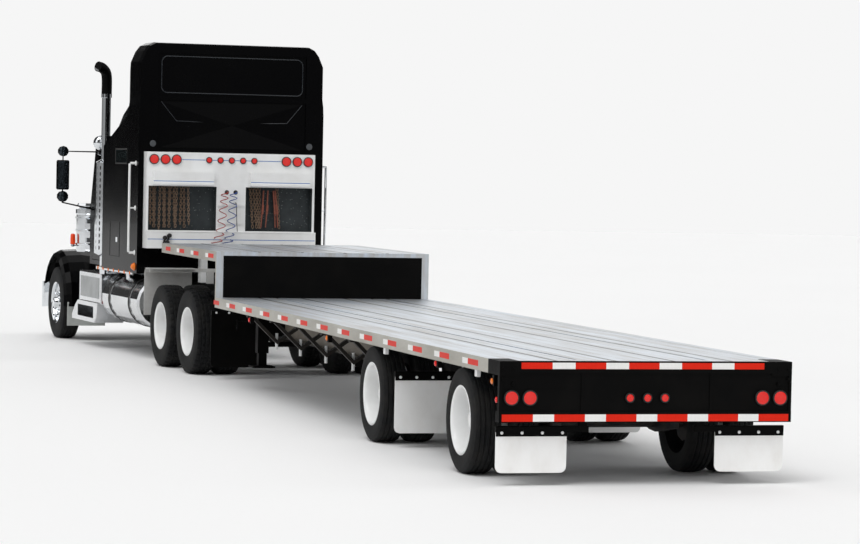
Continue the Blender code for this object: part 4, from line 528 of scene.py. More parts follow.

# %% [markdown]
# ## Air lines
# Two curly nylon air lines hang down the middle of the rack, parked on its lower tray. They come first
# of all the dressing. A helix is wound round the line that the solid stand-in follows.

# %% Wind the two air lines
RACK_REAR = 1.62
RACK_CENTRE = 0.04
RACK_FACE = RACK_REAR - 0.0003
RACK_TRAY = 0.08
HOSE_DIAMETER = 0.011
PORT_UP, COIL_FALL, COIL_OUT = 2.24, 0.67, 0.065
COIL_RADIUS = 0.050
COIL_TURNS = 6.5
EASE = 0.35
POINTS_PER_TURN = 24


def hung(name, route, diameter, material, node=None):
    """A round cord on the tractor along one open line; a solid stand-in, if named, is hidden."""
    curve = bpy.data.curves.new(name, "CURVE")
    curve.dimensions = "3D"
    curve.bevel_depth = diameter / 2
    curve.bevel_resolution = 3
    curve.use_fill_caps = True
    spline = curve.splines.new("POLY")
    spline.points.add(len(route) - 1)
    spline.points.foreach_set("co", np.c_[route, np.ones(len(route))].ravel())
    curve.materials.append(material)
    hose = bpy.data.objects.new(name, curve)
    bpy.context.scene.collection.objects.link(hose)
    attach(hose, "tractor")
    if node:
        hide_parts(node)


def air_line(name, node, port_x, sway, material):
    """The hose from its port back into its coil, and from the coil forward into the lower tray.

    A coil point = axis + radius x (cosine, sine) of its turn. The turn starts and ends where the hose
    runs level along the lorry, and the fall is slowest there, so no bend is tighter than the coil.
    """
    x = port_x + RACK_CENTRE
    share = np.linspace(0, 1, int(COIL_TURNS * POINTS_PER_TURN) + 1)
    fall = share - EASE * np.sin(2 * np.pi * share) / (2 * np.pi)
    angle = np.pi * (1 + 2 * COIL_TURNS * share)
    radius = COIL_RADIUS * (0.9 + 0.3 * share)
    drift = x + radius[0] + (sway - radius[0]) * share**1.6
    axis_at = RACK_FACE - COIL_OUT * (1 + share)
    coil = np.stack([drift + radius * np.cos(angle), axis_at + radius * np.sin(angle),
                     PORT_UP - COIL_FALL * fall], axis=-1)
    out = np.linspace((x, RACK_FACE, PORT_UP), coil[0], 5)[:-1]
    tail = np.linspace(coil[-1], (coil[-1][0], RACK_FACE - RACK_TRAY, PORT_UP - COIL_FALL), 5)[1:]
    hung(name, on_tractor(np.concatenate([out, coil, tail])), HOSE_DIAMETER, material, node)


air_line("red_coiled_air_line", "red_air_line", 0.06, 0.16, HOSE_RED)
air_line("blue_coiled_air_line", "blue_air_line", -0.06, 0.13, HOSE_BLUE)

# %% [markdown]
# ## Tyres
# A tyre is its section turned about the axle. The section runs bead, sidewall, shoulder, tread and
# back, and where it crosses the tread the radius drops into grooves. Trailer and steered tyres have
# ribs only; drive tyres have blocks, so their depth also changes round the wheel.

# %% Tyre surfaces
TYRE_SEGMENTS = 144
TREAD_POINTS = 33
GROOVE_DEPTH, LUG_DEPTH = 0.011, 0.013
TREAD_SHARE, SHOULDER_FROM, GROOVES_TO = 0.86, 0.45, 0.85


def tyre_section(radius, width, bead_radius):
    """Half sidewall, tread and half sidewall as (radius, along), with sidewalls that bulge."""
    half = width / 2
    rise = np.linspace(0, 1, 9)[:-1]
    wall_radius = bead_radius + (radius - 0.018 - bead_radius) * rise
    wall_along = half * (0.80 + 0.20 * np.sin(np.pi * (0.12 + 0.66 * rise)))
    across = np.linspace(1, -1, TREAD_POINTS)
    crown = radius - 0.012 * np.abs(across) ** 4
    tread = np.stack([crown, across * half * TREAD_SHARE], axis=-1)
    wall = np.stack([wall_radius, wall_along], axis=-1)
    return np.concatenate([wall, tread, wall[::-1] * (1, -1)]), len(wall)


def tyre_grid(radius, width, bead_radius, lugs):
    """Point = axle + along on the axle + depth-corrected radius x (cosine, sine).

    Four grooves run round. With lugs, slots also cross the shoulders at every pitch, and the middle
    halfway between them.
    """
    section, start = tyre_section(radius, width, bead_radius)
    angle = np.linspace(0, 2 * np.pi, TYRE_SEGMENTS, endpoint=False)
    across = np.linspace(1, -1, TREAD_POINTS)
    groove = (np.abs(((across + 1) * 2.5) % 1 - 0.5) > 0.37) & (np.abs(across) < GROOVES_TO)
    depth = np.zeros((len(section), TYRE_SEGMENTS))
    tread = depth[start:start + TREAD_POINTS]
    tread[:] = groove[:, None] * GROOVE_DEPTH
    if lugs:
        step = np.arange(TYRE_SEGMENTS) % 4
        shoulder = (np.abs(across) > SHOULDER_FROM)[:, None]
        np.maximum(tread, np.where(shoulder, step == 0, step == 2) * LUG_DEPTH, out=tread)
    distance = section[:, :1] - depth
    return np.stack([np.broadcast_to(section[:, 1:], distance.shape), distance * np.cos(angle),
                     distance * np.sin(angle)], axis=-1)


def at_wheel(name, side, place):
    """A function that sets (outward, forward, up) from a wheel's middle into the scene."""
    middle = np.array(JOINTS[f"{name}_spin"]["pos_m"], float)
    across, ahead = (place(np.array(unit)) - place(np.zeros(3)) for unit in ((1.0, 0, 0), (0, 1.0, 0)))
    return lambda grid: middle + side * grid[..., :1] * across + grid[..., 1:2] * ahead + grid[..., 2:] * UP


TRAILER_PAIR, DRIVE_PAIR = (on_trailer, 0.255, 0.33), (on_tractor, 0.285, 0.345)
STEERED = (on_tractor, 0.285, 0.0)
WHEELS = []
for side_name, side in (("left", 1), ("right", -1)):
    for row in ("rear", "front"):
        WHEELS.append((f"trailer_{row}_{side_name}", side, *TRAILER_PAIR))
        WHEELS.append((f"drive_{row}_{side_name}", side, *DRIVE_PAIR))
    WHEELS.append((f"steer_{side_name}", side, *STEERED))

BEAD_RADIUS = 0.292
for name, side, place, width, spacing in WHEELS:
    plural = "s" if spacing else ""
    radius = JOINTS[f"{name}_spin"]["pos_m"][2]
    tyre = tyre_grid(radius, width, BEAD_RADIUS, name.startswith("drive"))
    grids = [tyre + (offset, 0, 0) for offset in ((spacing / 2, -spacing / 2) if spacing else (0.0,))]
    made = build(f"{name}_tread", grids, TYRE_RUBBER, f"{name}_wheel{plural}", at_wheel(name, side, place),
                 wrap=(True, True), smooth_deg=32)
    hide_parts(f"{name}_tyre{plural}")

# %% [markdown]
# ## Wheels
# Steel disc wheels are spun from one sheet: a rolled lip, a deep dish, a band of hand holes and the
# bolt ring round the hub. The dish is a profile turned about the axle, and the holes are pressed into
# it by adding a soft oval dimple to the depth at ten places, with a dark oval of painted shade at the
# bottom of each that stands for the open hole.

# %% Disc wheels with hand holes and nuts
RIM_SIDES = 120
NUT_COUNT = 10
NUT_RING = 0.1435
HOLE_RING = 0.212
SEAT_RADIUS = 0.2897
DIMPLE_ROUND, DIMPLE_OUT, DIMPLE_DEPTH = 0.036, 0.026, 0.022
OVAL_ROUND, OVAL_OUT = 0.026, 0.018
RINGS = np.array((0.0, 1.0, 1.0, 0.0))[:, None]


def rolled_lip(lip):
    """The edge that both kinds share, (radius, along): wall, rolled lip and bead seat."""
    return [(0.268, lip - 0.03), (0.272, lip - 0.008), (0.278, lip + 0.004), (0.288, lip + 0.012),
            (0.298, lip + 0.016), (0.303, lip + 0.012), (0.303, lip + 0.007), (SEAT_RADIUS, lip + 0.004)]


def dish(lip):
    """Profile of a twin wheel, (radius, along): hub cap, flange, disc, dish wall, rolled lip, back."""
    disc = [(0, 0.2), (0.056, 0.2), (0.070, 0.195), (0.077, 0.18), (0.080, 0.125), (0.086, 0.116),
            (0.108, 0.112), (0.117, 0.104), (0.121, 0.058), (0.125, 0.05), (0.165, 0.048)]
    band = [(radius, 0.05 + (radius - 0.17) * 0.25) for radius in np.linspace(0.172, 0.252, 12)]
    back = [(SEAT_RADIUS, -0.02), (0.2, -0.02), (0.2, -0.16), (0, -0.16)]
    return disc + band + [(0.258, 0.085), (0.264, 0.12)] + rolled_lip(lip) + back


def bright_disc(lip):
    """Profile of a steered wheel: the disc stands out and carries a tall hub cap."""
    disc = [(0, 0.17), (0.045, 0.17), (0.062, 0.166), (0.072, 0.155), (0.078, 0.12), (0.086, 0.10),
            (0.105, 0.092), (0.125, 0.088), (0.168, 0.082)]
    band = [(radius, 0.08 - (radius - 0.172) * 0.35) for radius in np.linspace(0.174, 0.248, 12)]
    back = [(SEAT_RADIUS, -lip), (0.274, -lip), (0.26, 0.0), (0.115, 0.01), (0.115, -0.07), (0, -0.07)]
    return disc + band + [(0.256, 0.048), (0.264, 0.055)] + rolled_lip(lip) + back


def pressed(profile):
    """A turned profile with ten soft ovals pressed in: along - depth x root of (1 - d squared), d < 1."""
    grid = spun(profile, 0, sides=RIM_SIDES)
    radius = np.hypot(grid[..., 1], grid[..., 2])
    turn = np.arctan2(grid[..., 2], grid[..., 1])
    pitch = 2 * np.pi / NUT_COUNT
    across = ((turn / pitch + 0.5) % 1 - 0.5) * pitch * HOLE_RING / DIMPLE_ROUND
    outward = (radius - HOLE_RING) / DIMPLE_OUT
    inside = np.clip(1 - across**2 - outward**2, 0, 1)
    grid[..., 0] -= np.where(grid[..., 0] > 0.02, DIMPLE_DEPTH * np.sqrt(inside), 0)
    return grid


def on_ring(radius, along, count, start=0.0):
    """Places spaced evenly round the axle."""
    angle = 2 * np.pi * np.arange(count) / count + start
    return row_of(along, radius * np.cos(angle), radius * np.sin(angle))


def hole_shade_ovals(face):
    """Flat dark ovals of painted shade at the bottom of the dimples, each a small grid turned to its place on the
    ring.
    """
    turned = (2 * np.pi * np.arange(NUT_COUNT) / NUT_COUNT)[:, None, None]
    edge = np.linspace(0, 2 * np.pi, 16, endpoint=False)
    along = np.array((0.0, 0.0, -0.004, -0.004))[:, None] + face
    outward = HOLE_RING + OVAL_OUT * RINGS * np.cos(edge)
    across = OVAL_ROUND * RINGS * np.sin(edge)
    return np.stack([np.broadcast_to(along, (NUT_COUNT, 4, 16)),
                     outward * np.cos(turned) - across * np.sin(turned),
                     outward * np.sin(turned) + across * np.cos(turned)], axis=-1)


NUT = [(0, 0.030), (0.010, 0.030), (0.0165, 0.026), (0.0165, 0.004), (0.021, 0.003), (0.021, -0.004),
       (0, -0.004)]
for name, side, place, width, spacing in WHEELS:
    lip = spacing / 2 + width * 0.41
    if spacing:
        body, profile, finish, face, hole_face = f"{name}_wheels", dish(lip), WHITE_ENAMEL, 0.048, 0.0425
    else:
        body, profile, finish, face, hole_face = f"{name}_wheel", bright_disc(lip), CHROME, 0.085, 0.0505
    spot = at_wheel(name, side, place)
    made = build(f"{name}_disc_wheel", [pressed(profile)], finish, body, spot, smooth_deg=50)
    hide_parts(f"{name}_rim")
    # The dark ovals are painted shade standing for the open hand holes.
    build(f"{name}_hand_hole_shade", [hole_shade_ovals(hole_face)], BLACK_RUBBER_AND_HOLE_SHADE, body, spot)
    nuts = spun(NUT, 0, on_ring(NUT_RING, face, NUT_COUNT, 0.3), 6)
    build(f"{name}_nuts", [nuts], CHROME, body, spot, smooth_deg=25)

# %% [markdown]
# ## Round lamps
# A truck lamp is a thin acrylic dome in a rubber ring. Both are profiles turned about the line that
# points to the rear, so one function gives a whole row: a list of centres in, two grids out.

# %% Lamp domes and rubber rings
def lamp_rows(name, body, *rows):
    """Lamps that face the rear, each row with its centres and radius: red lenses and rubber rings."""
    domes, rings = [], []
    for centres, radius in rows:
        ring = [(radius, 0.006), (radius, -0.002), (radius + 0.003, -0.004), (radius + 0.009, -0.003),
                (radius + 0.011, 0.001), (radius + 0.011, 0.012), (radius, 0.012)]
        domes.append(spun(domed(radius, -0.0035, 0.004, 6), 1, centres, 24))
        rings.append(spun(ring, 1, centres, 24))
    build(f"{name}_lamp_lenses", domes, LENS_RED, body)
    build(f"{name}_lamp_rings", rings, BLACK_RUBBER_AND_HOLE_SHADE, body, wrap=(True, True))


HALF_DECK = 1.2955
REAR_LAMP_FACE, REAR_LAMP_UP = -0.012, 0.745
stop_lamps = both((HALF_DECK - 0.105, HALF_DECK - 0.265), REAR_LAMP_FACE, REAR_LAMP_UP)
middle_lamps = row_of((0.155, 0.0, -0.155), REAR_LAMP_FACE, REAR_LAMP_UP)
lamp_rows("rear", "trailer", (stop_lamps, 0.055), (middle_lamps, 0.031))
RACK_HALF, RACK_LAMP_UP = 1.155, 2.66
large = RACK_CENTRE + np.array([side * (0.905 + i * 0.152) for side in SIDES for i in (1, 0, -1)])
small = RACK_CENTRE + 0.155 * np.arange(-2, 3)
lamp_rows("rack", "tractor", (row_of(large, RACK_REAR - 0.015, RACK_LAMP_UP), 0.056),
          (row_of(small, RACK_REAR - 0.012, RACK_LAMP_UP), 0.032))

# %% [markdown]
# ## Reflective tape
# Tape runs along the side rails in pairs of red and white, and across the rear panel's head and foot.
# Each piece is a thin plate with its edges broken, a millimetre proud of the rail, spaced as in the
# picture.

# %% Tape on the rails and the rear panel
TAPE_PITCH = 0.872
TAPE_RED_LENGTH = 0.30
TAPE_WHITE_LENGTH = 0.166
TAPE_LIFT, TAPE_SUNK, TAPE_EDGE, TAPE_HEIGHT = 0.0012, 0.002, 0.0006, 0.05
LOWER_RUN, UPPER_RUN = (0.77, 13, 0.965), (11.60, 4, 1.505)
HEAD_RUN, FOOT_RUN = (1.108, 0.27, 0.20, 5, 0.985, 1.038), (1.27, 0.27, 0.184, 6, 0.548, 0.608)


def side_tape(first, count, low, length):
    """Plates on both side rails: one every pitch, each of a given length from its own start."""
    start = first + np.arange(count) * TAPE_PITCH
    return mirrored(row_of(HALF_DECK - TAPE_SUNK, start, low),
                    row_of(HALF_DECK + TAPE_LIFT, start + length, low + TAPE_HEIGHT), TAPE_EDGE)


def cross_tape(start, red, white, count, low, high, reds):
    """Plates across the rear face, red first and last, from the left edge to the right."""
    left = start - np.arange(count if reds else count - 1) * (red + white) - (0 if reds else red)
    width = red if reds else white
    return bar(row_of(left - width, -TAPE_LIFT, low), row_of(left, TAPE_SUNK, high), TAPE_EDGE)


for name, material, reds, shift, length in (
        ("red_tape", TAPE_RED, True, -TAPE_RED_LENGTH / 2, TAPE_RED_LENGTH),
        ("white_tape", TAPE_WHITE, False, TAPE_RED_LENGTH / 2, TAPE_WHITE_LENGTH)):
    tape = [cross_tape(*run, reds) for run in (HEAD_RUN, FOOT_RUN)]
    for first, count, low in (LOWER_RUN, UPPER_RUN):
        tape += side_tape(first + shift, count if reds else count - 1, low, length)
    build(name, tape, material, "trailer", smooth_deg=20)

# %% [markdown]
# ## Rear corners and side lamps
# Black cast blocks close the rails at the rear corners, held by heavy bolts, and small side lamps sit
# under the rail. Bolts are six-sided turned shapes; the lamps are short domes that face sideways.

# %% Bolts, side lamps and rail brackets
def side_domes(places, radius):
    """Small domes that face outwards, and their mirror images."""
    grid = spun(domed(radius, 0.010, -0.004, 5), 0, places, 16)
    return [grid, grid * (-1, 1, 1)]


BOLT = [(0, -0.010), (0.009, -0.010), (0.013, -0.008), (0.013, 0.0), (0.019, 0.0), (0.019, 0.004),
        (0, 0.004)]
SIDE_LAMP_RADIUS = 0.026
bolt_places = both(HALF_DECK - np.array((0.03, 0.12, 0.03, 0.12)), 0.001, (0.985, 0.985, 0.90, 0.86))
build("corner_bolts", [spun(BOLT, 1, bolt_places, 6)], CHASSIS_BLACK, "trailer", smooth_deg=25)
for name, at, up, material in (("amber_side_lamps", (0.258, 5.94), (0.866, 0.889), LENS_AMBER),
                               ("red_side_lamps", (0.12, 1.96, 9.52), (0.72, 0.90, 0.88), LENS_RED)):
    build(name, side_domes(row_of(HALF_DECK - 0.012, at, up), SIDE_LAMP_RADIUS), material, "trailer")
spots = row_of(1.25, (0.235, 1.93, 5.915, 9.495), (0.875, 0.91, 0.895, 0.89))
build("side_lamp_brackets", mirrored(spots - (0.02, 0, 0.05), spots + (0.02, 0.05, 0.045), 0.003),
      CHASSIS_BLACK, "trailer", smooth_deg=25)
spots = row_of(1.262, (0.70, 3.68), 0.868)
build("white_rail_brackets", mirrored(spots - (0.016, 0, 0), spots + (0.016, 0.07, 0.066), 0.004),
      WHITE_ENAMEL, "trailer", smooth_deg=25)

# %% [markdown]
# ## Flap hangers and their bolts
# Each white flap is clamped in a black steel strip by four bright bolts. The strip wraps the solid bar
# with a millimetre all round, because the solid stays for collision and only its finish differs.

# %% Black hangers over the flap bars
WRAP = 0.0015
CLAMP_BOLT = [(0, -0.007), (0.008, -0.007), (0.013, -0.004), (0.014, 0.0), (0.014, 0.003), (0, 0.003)]
FLAP_INNER, FLAP_CORNER = 0.66, 0.055
REAR_FLAP_AT, REAR_FLAP_OUTER = 0.125, 1.2795


def hanging_flap(side, low, high):
    """A plate with two round lower corners, as rings of one outline: middle, face, back, middle."""
    turn = np.radians(np.linspace(0, 90, 7))
    inner, outer = FLAP_INNER + FLAP_CORNER, REAR_FLAP_OUTER - FLAP_CORNER
    cosine, sine = FLAP_CORNER * np.cos(turn), FLAP_CORNER * np.sin(turn)
    xs = np.concatenate([[FLAP_INNER, REAR_FLAP_OUTER], outer + cosine, inner - sine])
    zs = np.concatenate([[high, high], low + FLAP_CORNER - sine, low + FLAP_CORNER - cosine])
    x, z = (FLAP_INNER + REAR_FLAP_OUTER) / 2, (low + high) / 2
    depth = REAR_FLAP_AT + np.array((0.0, 0.0, 0.01, 0.01))[:, None] + 0 * xs
    return np.stack([side * (x + RINGS * (xs - x)), depth, z + RINGS * (zs - z)], axis=-1)


flaps = build("rear_white_flaps", [hanging_flap(side, 0.11, 0.47) for side in SIDES], WHITE_FLAP, "trailer",
              smooth_deg=30)
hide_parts("rear_mudflaps")
for name, at, outer, top, reach in (("rear", REAR_FLAP_AT, REAR_FLAP_OUTER, 0.50, 0.47),
                                    ("middle", 3.52, 1.2205, 0.72, -1.2205)):
    strips = mirrored((reach - WRAP, at - 0.004 - WRAP, top - 0.05 - WRAP),
                      (outer + WRAP, at + 0.03 + WRAP, top + WRAP))[:2 if reach > 0 else 1]
    strips += mirrored((0.485, at - 0.004, top - 0.03), (0.555, at + 0.03, 0.7795))
    strips += mirrored((FLAP_INNER, at - 0.007, top - 0.085), (outer, at + 0.001, top))
    build(f"{name}_flap_hangers", strips, CHASSIS_BLACK, "trailer", smooth_deg=25)
    bolts = spun(CLAMP_BOLT, 1, both(np.linspace(0.70, outer - 0.05, 4), at - 0.007, top - 0.055), 12)
    build(f"{name}_flap_bolts", [bolts], WHITE_ENAMEL, "trailer")
bolts = spun(CLAMP_BOLT, 1, both((0.68, 0.84, 1.0, 1.16), -1.7615, 0.815), 12)
build("tractor_flap_bolts", [bolts], WHITE_ENAMEL, "tractor")

# %% [markdown]
# ## Under the deck
# Dark V-shaped outriggers carry the rail, each with a bright rod at its foot, and a bright air tank
# hangs across the frame in two black straps. Rod and tank are thin skins over the solids.

# %% Bright rods, air tank and straps
ROD_HEIGHTS = (0.538, 0.545, 0.60, 0.66, 0.722)
AIR_TANK_AT, AIR_TANK_UP = 2.55, 0.56
rods = [piped(row_of(x, at, ROD_HEIGHTS), 0.0165, 10, ALONG)
        for x, at, _ in both(0.92, 5.1 + 1.15 * np.arange(5), 0)]
build("outrigger_rods", rods, WHITE_ENAMEL, "trailer")
half_drum = [(0, -0.2025), (0.04, -0.201), (0.074, -0.196), (0.09, -0.18), (0.098, -0.16), (0.1035, -0.14)]
drum = half_drum + [(radius, -along) for radius, along in half_drum[::-1]]
build("air_tank_skin", [spun(drum, 0, (0.03, AIR_TANK_AT, AIR_TANK_UP), 32)], POLISHED_ALUMINIUM, "trailer")
straps = spun(hoop(0.1, 0.1065, 0.02, 0.02), 0, row_of((0.15, -0.09), AIR_TANK_AT, AIR_TANK_UP), 32)
build("air_tank_straps", [straps], BLACK_RUBBER_AND_HOLE_SHADE, "trailer", wrap=(True, True))

# %% [markdown]
# ## Chain rack
# The rack behind the sleeper is folded white sheet. Its two open bays are lined on every wall with dark
# plate, which is painted shade inside the deep bays. Chains and load binders hang in them, and thin blue
# lines are painted along the header, the tray lids and the lower tray. The solid has the bays already;
# skins of a millimetre or so carry what is painted.

# %% Bay shade plates, lips and painted lines
# Dark plates on every wall of the two bays: painted shade of the deep bays, with light specks.
bay_shade_lining, tree, shader, places = new_material("chipped_dark_grey_primer")
speck_cells = add_node(tree, "ShaderNodeTexVoronoi", {"Vector": places, "Scale": 26.0, "Randomness": 1.0},
                 feature="F1")
speck = add_node(tree, "ShaderNodeMapRange", {"Value": speck_cells.outputs["Distance"], "From Min": 0.10,
                                              "From Max": 0.16, "To Min": 0.75, "To Max": 0.0})
blotch = add_node(tree, "ShaderNodeTexNoise", {"Vector": places, "Scale": 9.0, "Detail": 6.0})
shade_tone = add_node(tree, "ShaderNodeMix", {0: blotch.outputs["Fac"], 6: linear("1B2022"),
                                          7: linear("3A4144")}, data_type="RGBA")
shade_with_specks = add_node(tree, "ShaderNodeMix", {0: speck.outputs[0], 6: shade_tone.outputs[2], 7: linear("8D9492")},
                  data_type="RGBA")
connect(tree, shader, {"Base Color": shade_with_specks.outputs[2], "Roughness": 0.7})
PINSTRIPE_BLUE = weathered("painted_blue_line", "3E6FB4", "6F8FBD", 0.35, 0.0, 60, 1, 0.3, 0.01)

RACK_LEFT, RACK_RIGHT = RACK_CENTRE + RACK_HALF, RACK_CENTRE - RACK_HALF
BAYS = ((RACK_CENTRE + 0.20, RACK_LEFT - 0.03), (RACK_RIGHT + 0.03, RACK_CENTRE - 0.20))
BAY_LOW, BAY_TOP, BAY_FRONT, BAY_BACK = 1.728, 2.31, RACK_REAR + 0.012, 1.7547
SKIN, THIN, LINE = 0.0015, 0.0005, 0.0045


def painted(left, right, behind, up):
    """A painted line across the rack: a skin on a face that stands some way behind the rack's own."""
    at = RACK_REAR - behind
    return bar((left, at - 0.0008, up - LINE), (right, at + 0.001, up + LINE), 0.0002)


plates, lips, lines = [], [], []
for near, far in BAYS:
    low, high = BAY_LOW + 0.001, BAY_TOP - 0.001
    plates.append(bar((near + 0.001, BAY_BACK - 0.006, low), (far - 0.001, BAY_BACK + 0.002, high)))
    plates += [bar((x - SKIN, BAY_FRONT, low), (x + SKIN, BAY_BACK, high), THIN) for x in (near, far)]
    plates += [bar((near, BAY_FRONT, z - SKIN), (far, BAY_BACK, z + SKIN), THIN) for z in (BAY_LOW, BAY_TOP)]
    lips.append(bar((near + 0.05, RACK_REAR - 0.072, 2.325), (far - 0.05, RACK_REAR - 0.055, 2.362), 0.004))
    lines.append(painted(near + 0.052, far - 0.052, 0.06, 2.375))
# The dark lining of the bays is painted shade.
build("rack_bay_backing", plates, bay_shade_lining, "tractor", smooth_deg=20)
lips += [bar((RACK_RIGHT, RACK_REAR - behind, low), (RACK_LEFT, RACK_REAR - front, high), 0.003)
         for behind, front, low, high in ((0.088, 0.08, 1.49, 1.515), (0.084, 0.07, 1.705, 1.722))]
build("rack_folded_lips", lips, WHITE_ENAMEL, "tractor", smooth_deg=25)
lines += [painted(RACK_CENTRE + side * low, RACK_CENTRE + side * high, 0, RACK_LAMP_UP) for side in SIDES
          for low, high in ((0.36, 0.68), (0.2, 0.265), (0.045, 0.11), (0.82, 0.838), (0.972, 0.99))]
lines.append(painted(RACK_RIGHT + 0.01, RACK_LEFT - 0.01, 0.08, 1.612))
build("rack_painted_lines", lines, PINSTRIPE_BLUE, "tractor", smooth_deg=20)
port = [(0, -0.012), (0.016, -0.012), (0.021, -0.006), (0.030, -0.004), (0.030, 0.004), (0, 0.004)]
ports = spun(port, 1, row_of((RACK_CENTRE + 0.06, RACK_CENTRE - 0.06), RACK_REAR, PORT_UP), 12)
build("air_line_ports", [ports], CAST_IRON, "tractor")

# %% [markdown]
# ## Lashing chains
# A chain link is a rod bent into a long ring, and each link is a quarter turn from its neighbours.
# Hundreds are needed, so one link is a ring of twelve by five points, and an array holds them all.

# %% Chains and binders in the bays
LINK_PITCH = 0.036
LINK_WIRE = 0.0056
LINK_HALF_LENGTH, LINK_HALF_WIDTH = 0.0235, 0.0145
CHAIN_SEED = 12


def chain(top, foot):
    """Links from top to foot: a long ring in the hanging plane, every other one turned a quarter."""
    top, foot = np.asarray(top, float), np.asarray(foot, float)
    run = foot - top
    count = int(np.linalg.norm(run) / LINK_PITCH)
    down = run / np.linalg.norm(run)
    side_a = np.cross(down, (0.0, 1.0, 0.0))
    side_a /= np.linalg.norm(side_a)
    side_b = np.cross(down, side_a)
    turn = np.linspace(0, 2 * np.pi, 12, endpoint=False)[:, None]
    around = np.linspace(0, 2 * np.pi, 5, endpoint=False)
    wide = np.sign(np.sin(turn)) * np.abs(np.sin(turn)) ** 0.7 * LINK_HALF_WIDTH
    ring_long = np.cos(turn) * LINK_HALF_LENGTH + LINK_WIRE * np.cos(around) * np.cos(turn)
    ring_wide = wide + LINK_WIRE * np.cos(around) * np.sin(turn)
    ring_thick = LINK_WIRE * np.sin(around) + 0 * ring_long
    index = np.arange(count)[:, None, None, None]
    wide_axis = np.where(index % 2 == 0, side_a, side_b)
    thick_axis = np.where(index % 2 == 0, side_b, -side_a)
    return (top + down * (index + 0.5) * LINK_PITCH + ring_long[..., None] * down
            + ring_wide[..., None] * wide_axis + ring_thick[..., None] * thick_axis)


random = np.random.default_rng(CHAIN_SEED)
LEFT_TOPS = (1.13, 1.085, 1.05, 0.985, 0.945, 0.915, 0.865, 0.84, 0.80, 0.765, 0.695, 0.66, 0.615)
RIGHT_RUNS = ((-0.245, -0.29), (-0.285, -0.345), (-0.33, -0.375), (-0.375, -0.39), (-0.62, -0.655))
BINDER_RUNS = ((-0.43, -0.40), (-0.49, -0.465), (-0.565, -0.60), (-0.59, -0.635))
strands = []
for x in LEFT_TOPS:
    sway, short = random.uniform(-0.02, 0.02), random.uniform(0.0, 0.06)
    depth = random.uniform(1.675, 1.735)
    strands.append(chain((x, depth, BAY_TOP), (x + sway, depth - 0.004, BAY_LOW + 0.004 + short)))
strands += [chain((top_x, 1.715, BAY_TOP), (foot_x, 1.70, BAY_LOW + 0.02)) for top_x, foot_x in RIGHT_RUNS]
build("lashing_chains", strands, CHAIN_STEEL, "tractor", wrap=(True, True), smooth_deg=60)
levers = []
for top_x, foot_x in BINDER_RUNS:
    line = curved([(top_x, 1.70, 2.27), ((top_x + foot_x) / 2, 1.685, 2.02), (foot_x, 1.70, 1.78)], 9)
    levers.append(piped(line, np.linspace(0.012, 0.008, 9), 8, ALONG))
    levers.append(piped(line[3:6] + (0.0, -0.012, 0.0), 0.016, 8, ALONG))
build("load_binders", levers, BINDER_RED, "tractor")
clasp = [(0, -0.03), (0.022, -0.03), (0.03, -0.018), (0.03, 0.012), (0.024, 0.02), (0.024, 0.034),
         (0, 0.034)]
spots = [(0.90, 1.515, 1.66), (0.96, 1.51, 1.63), (0.93, 1.505, 1.57)]
stem = np.array([(0, 0, 0), (0.012, 0.006, -0.05), (0.03, 0.008, -0.10)])
stems = [piped(stem + spot, 0.012, 8, ALONG) for spot in spots[:2]]
build("parked_couplings", [spun(clasp, 1, spots, 12), *stems], BLACK_RUBBER_AND_HOLE_SHADE, "tractor")

# %% [markdown]
# ## Power cable
# A straight black seven-core cable hangs beside the air lines, from its port to the lower tray. It is
# a short hanging cord: one smooth line a little longer than the straight way between its ends.

# %% The hanging cable
CABLE_DIAMETER = 0.010
cable_line = [(-0.02, 0, 2.10), (-0.02, -0.035, 2.098), (-0.02, -0.06, 2.06), (-0.022, -0.066, 1.95),
              (-0.025, -0.07, 1.84), (-0.03, -0.074, 1.76), (-0.032, -0.075, 1.7235)]
hung("hanging_power_cable", on_tractor(curved(np.array(cable_line) + (0, RACK_FACE, 0), 34)), CABLE_DIAMETER,
     BLACK_RUBBER_AND_HOLE_SHADE)

# %% [markdown]
# ## Sleeper
# The rear wall has two sunk panels. The lower one is cross-broken: four very flat triangles that meet
# in the middle and keep a big sheet from drumming, which is why its reflections break along diagonals.
# Rows of rivets run beside the panels, and round plugs close two service holes.

# %% Panels, rivets, plugs and windows
SLEEPER_REAR = 1.775
SLEEPER_HALF = 1.27
PANEL_HALF = 1.018


def cross_broken(low_z, high_z, rise):
    """A four-sided point of a given rise on the floor of a sunk panel."""
    floor_at = SLEEPER_REAR + 0.0155
    rim = row_of(PANEL_HALF * np.array((-1, 1, 1, -1)), floor_at, (low_z, low_z, high_z, high_z))
    middle = row_of(np.zeros(4), floor_at, (low_z + high_z) / 2)
    return np.stack([middle + (0, 0.002, 0), rim + (0, 0.002, 0), rim, middle - (0, rise, 0)])


build("cross_broken_panel", [cross_broken(2.803, 3.437, 0.012)], GLOSS_BLACK, "tractor", smooth_deg=1)
rivet_heights = np.arange(1.32, 3.36, 0.085)
dome = domed(0.0075, -0.0032, 0.003, 4)
wall_rivets = [*both(1.15, SLEEPER_REAR, rivet_heights),
               *both(np.arange(0.05, 1.0, 0.1), SLEEPER_REAR, 3.47)]
side_rivets = spun([(radius, -along) for radius, along in dome], 0,
                   row_of(1.2585, SLEEPER_REAR + 0.03, rivet_heights), 8)
build("sleeper_rivets", [spun(dome, 1, wall_rivets, 8), side_rivets, side_rivets * (-1, 1, 1)], GLOSS_BLACK,
      "tractor", smooth_deg=60)
plug = [(0, -0.006), (0.036, -0.006), (0.042, -0.004), (0.044, 0.003), (0, 0.003)]
build("sleeper_plugs", [spun(plug, 1, both(1.078, SLEEPER_REAR, 2.865), 20)],
      weathered("dull_grey_plastic", "3C4044", "5A5A58", 0.6), "tractor")

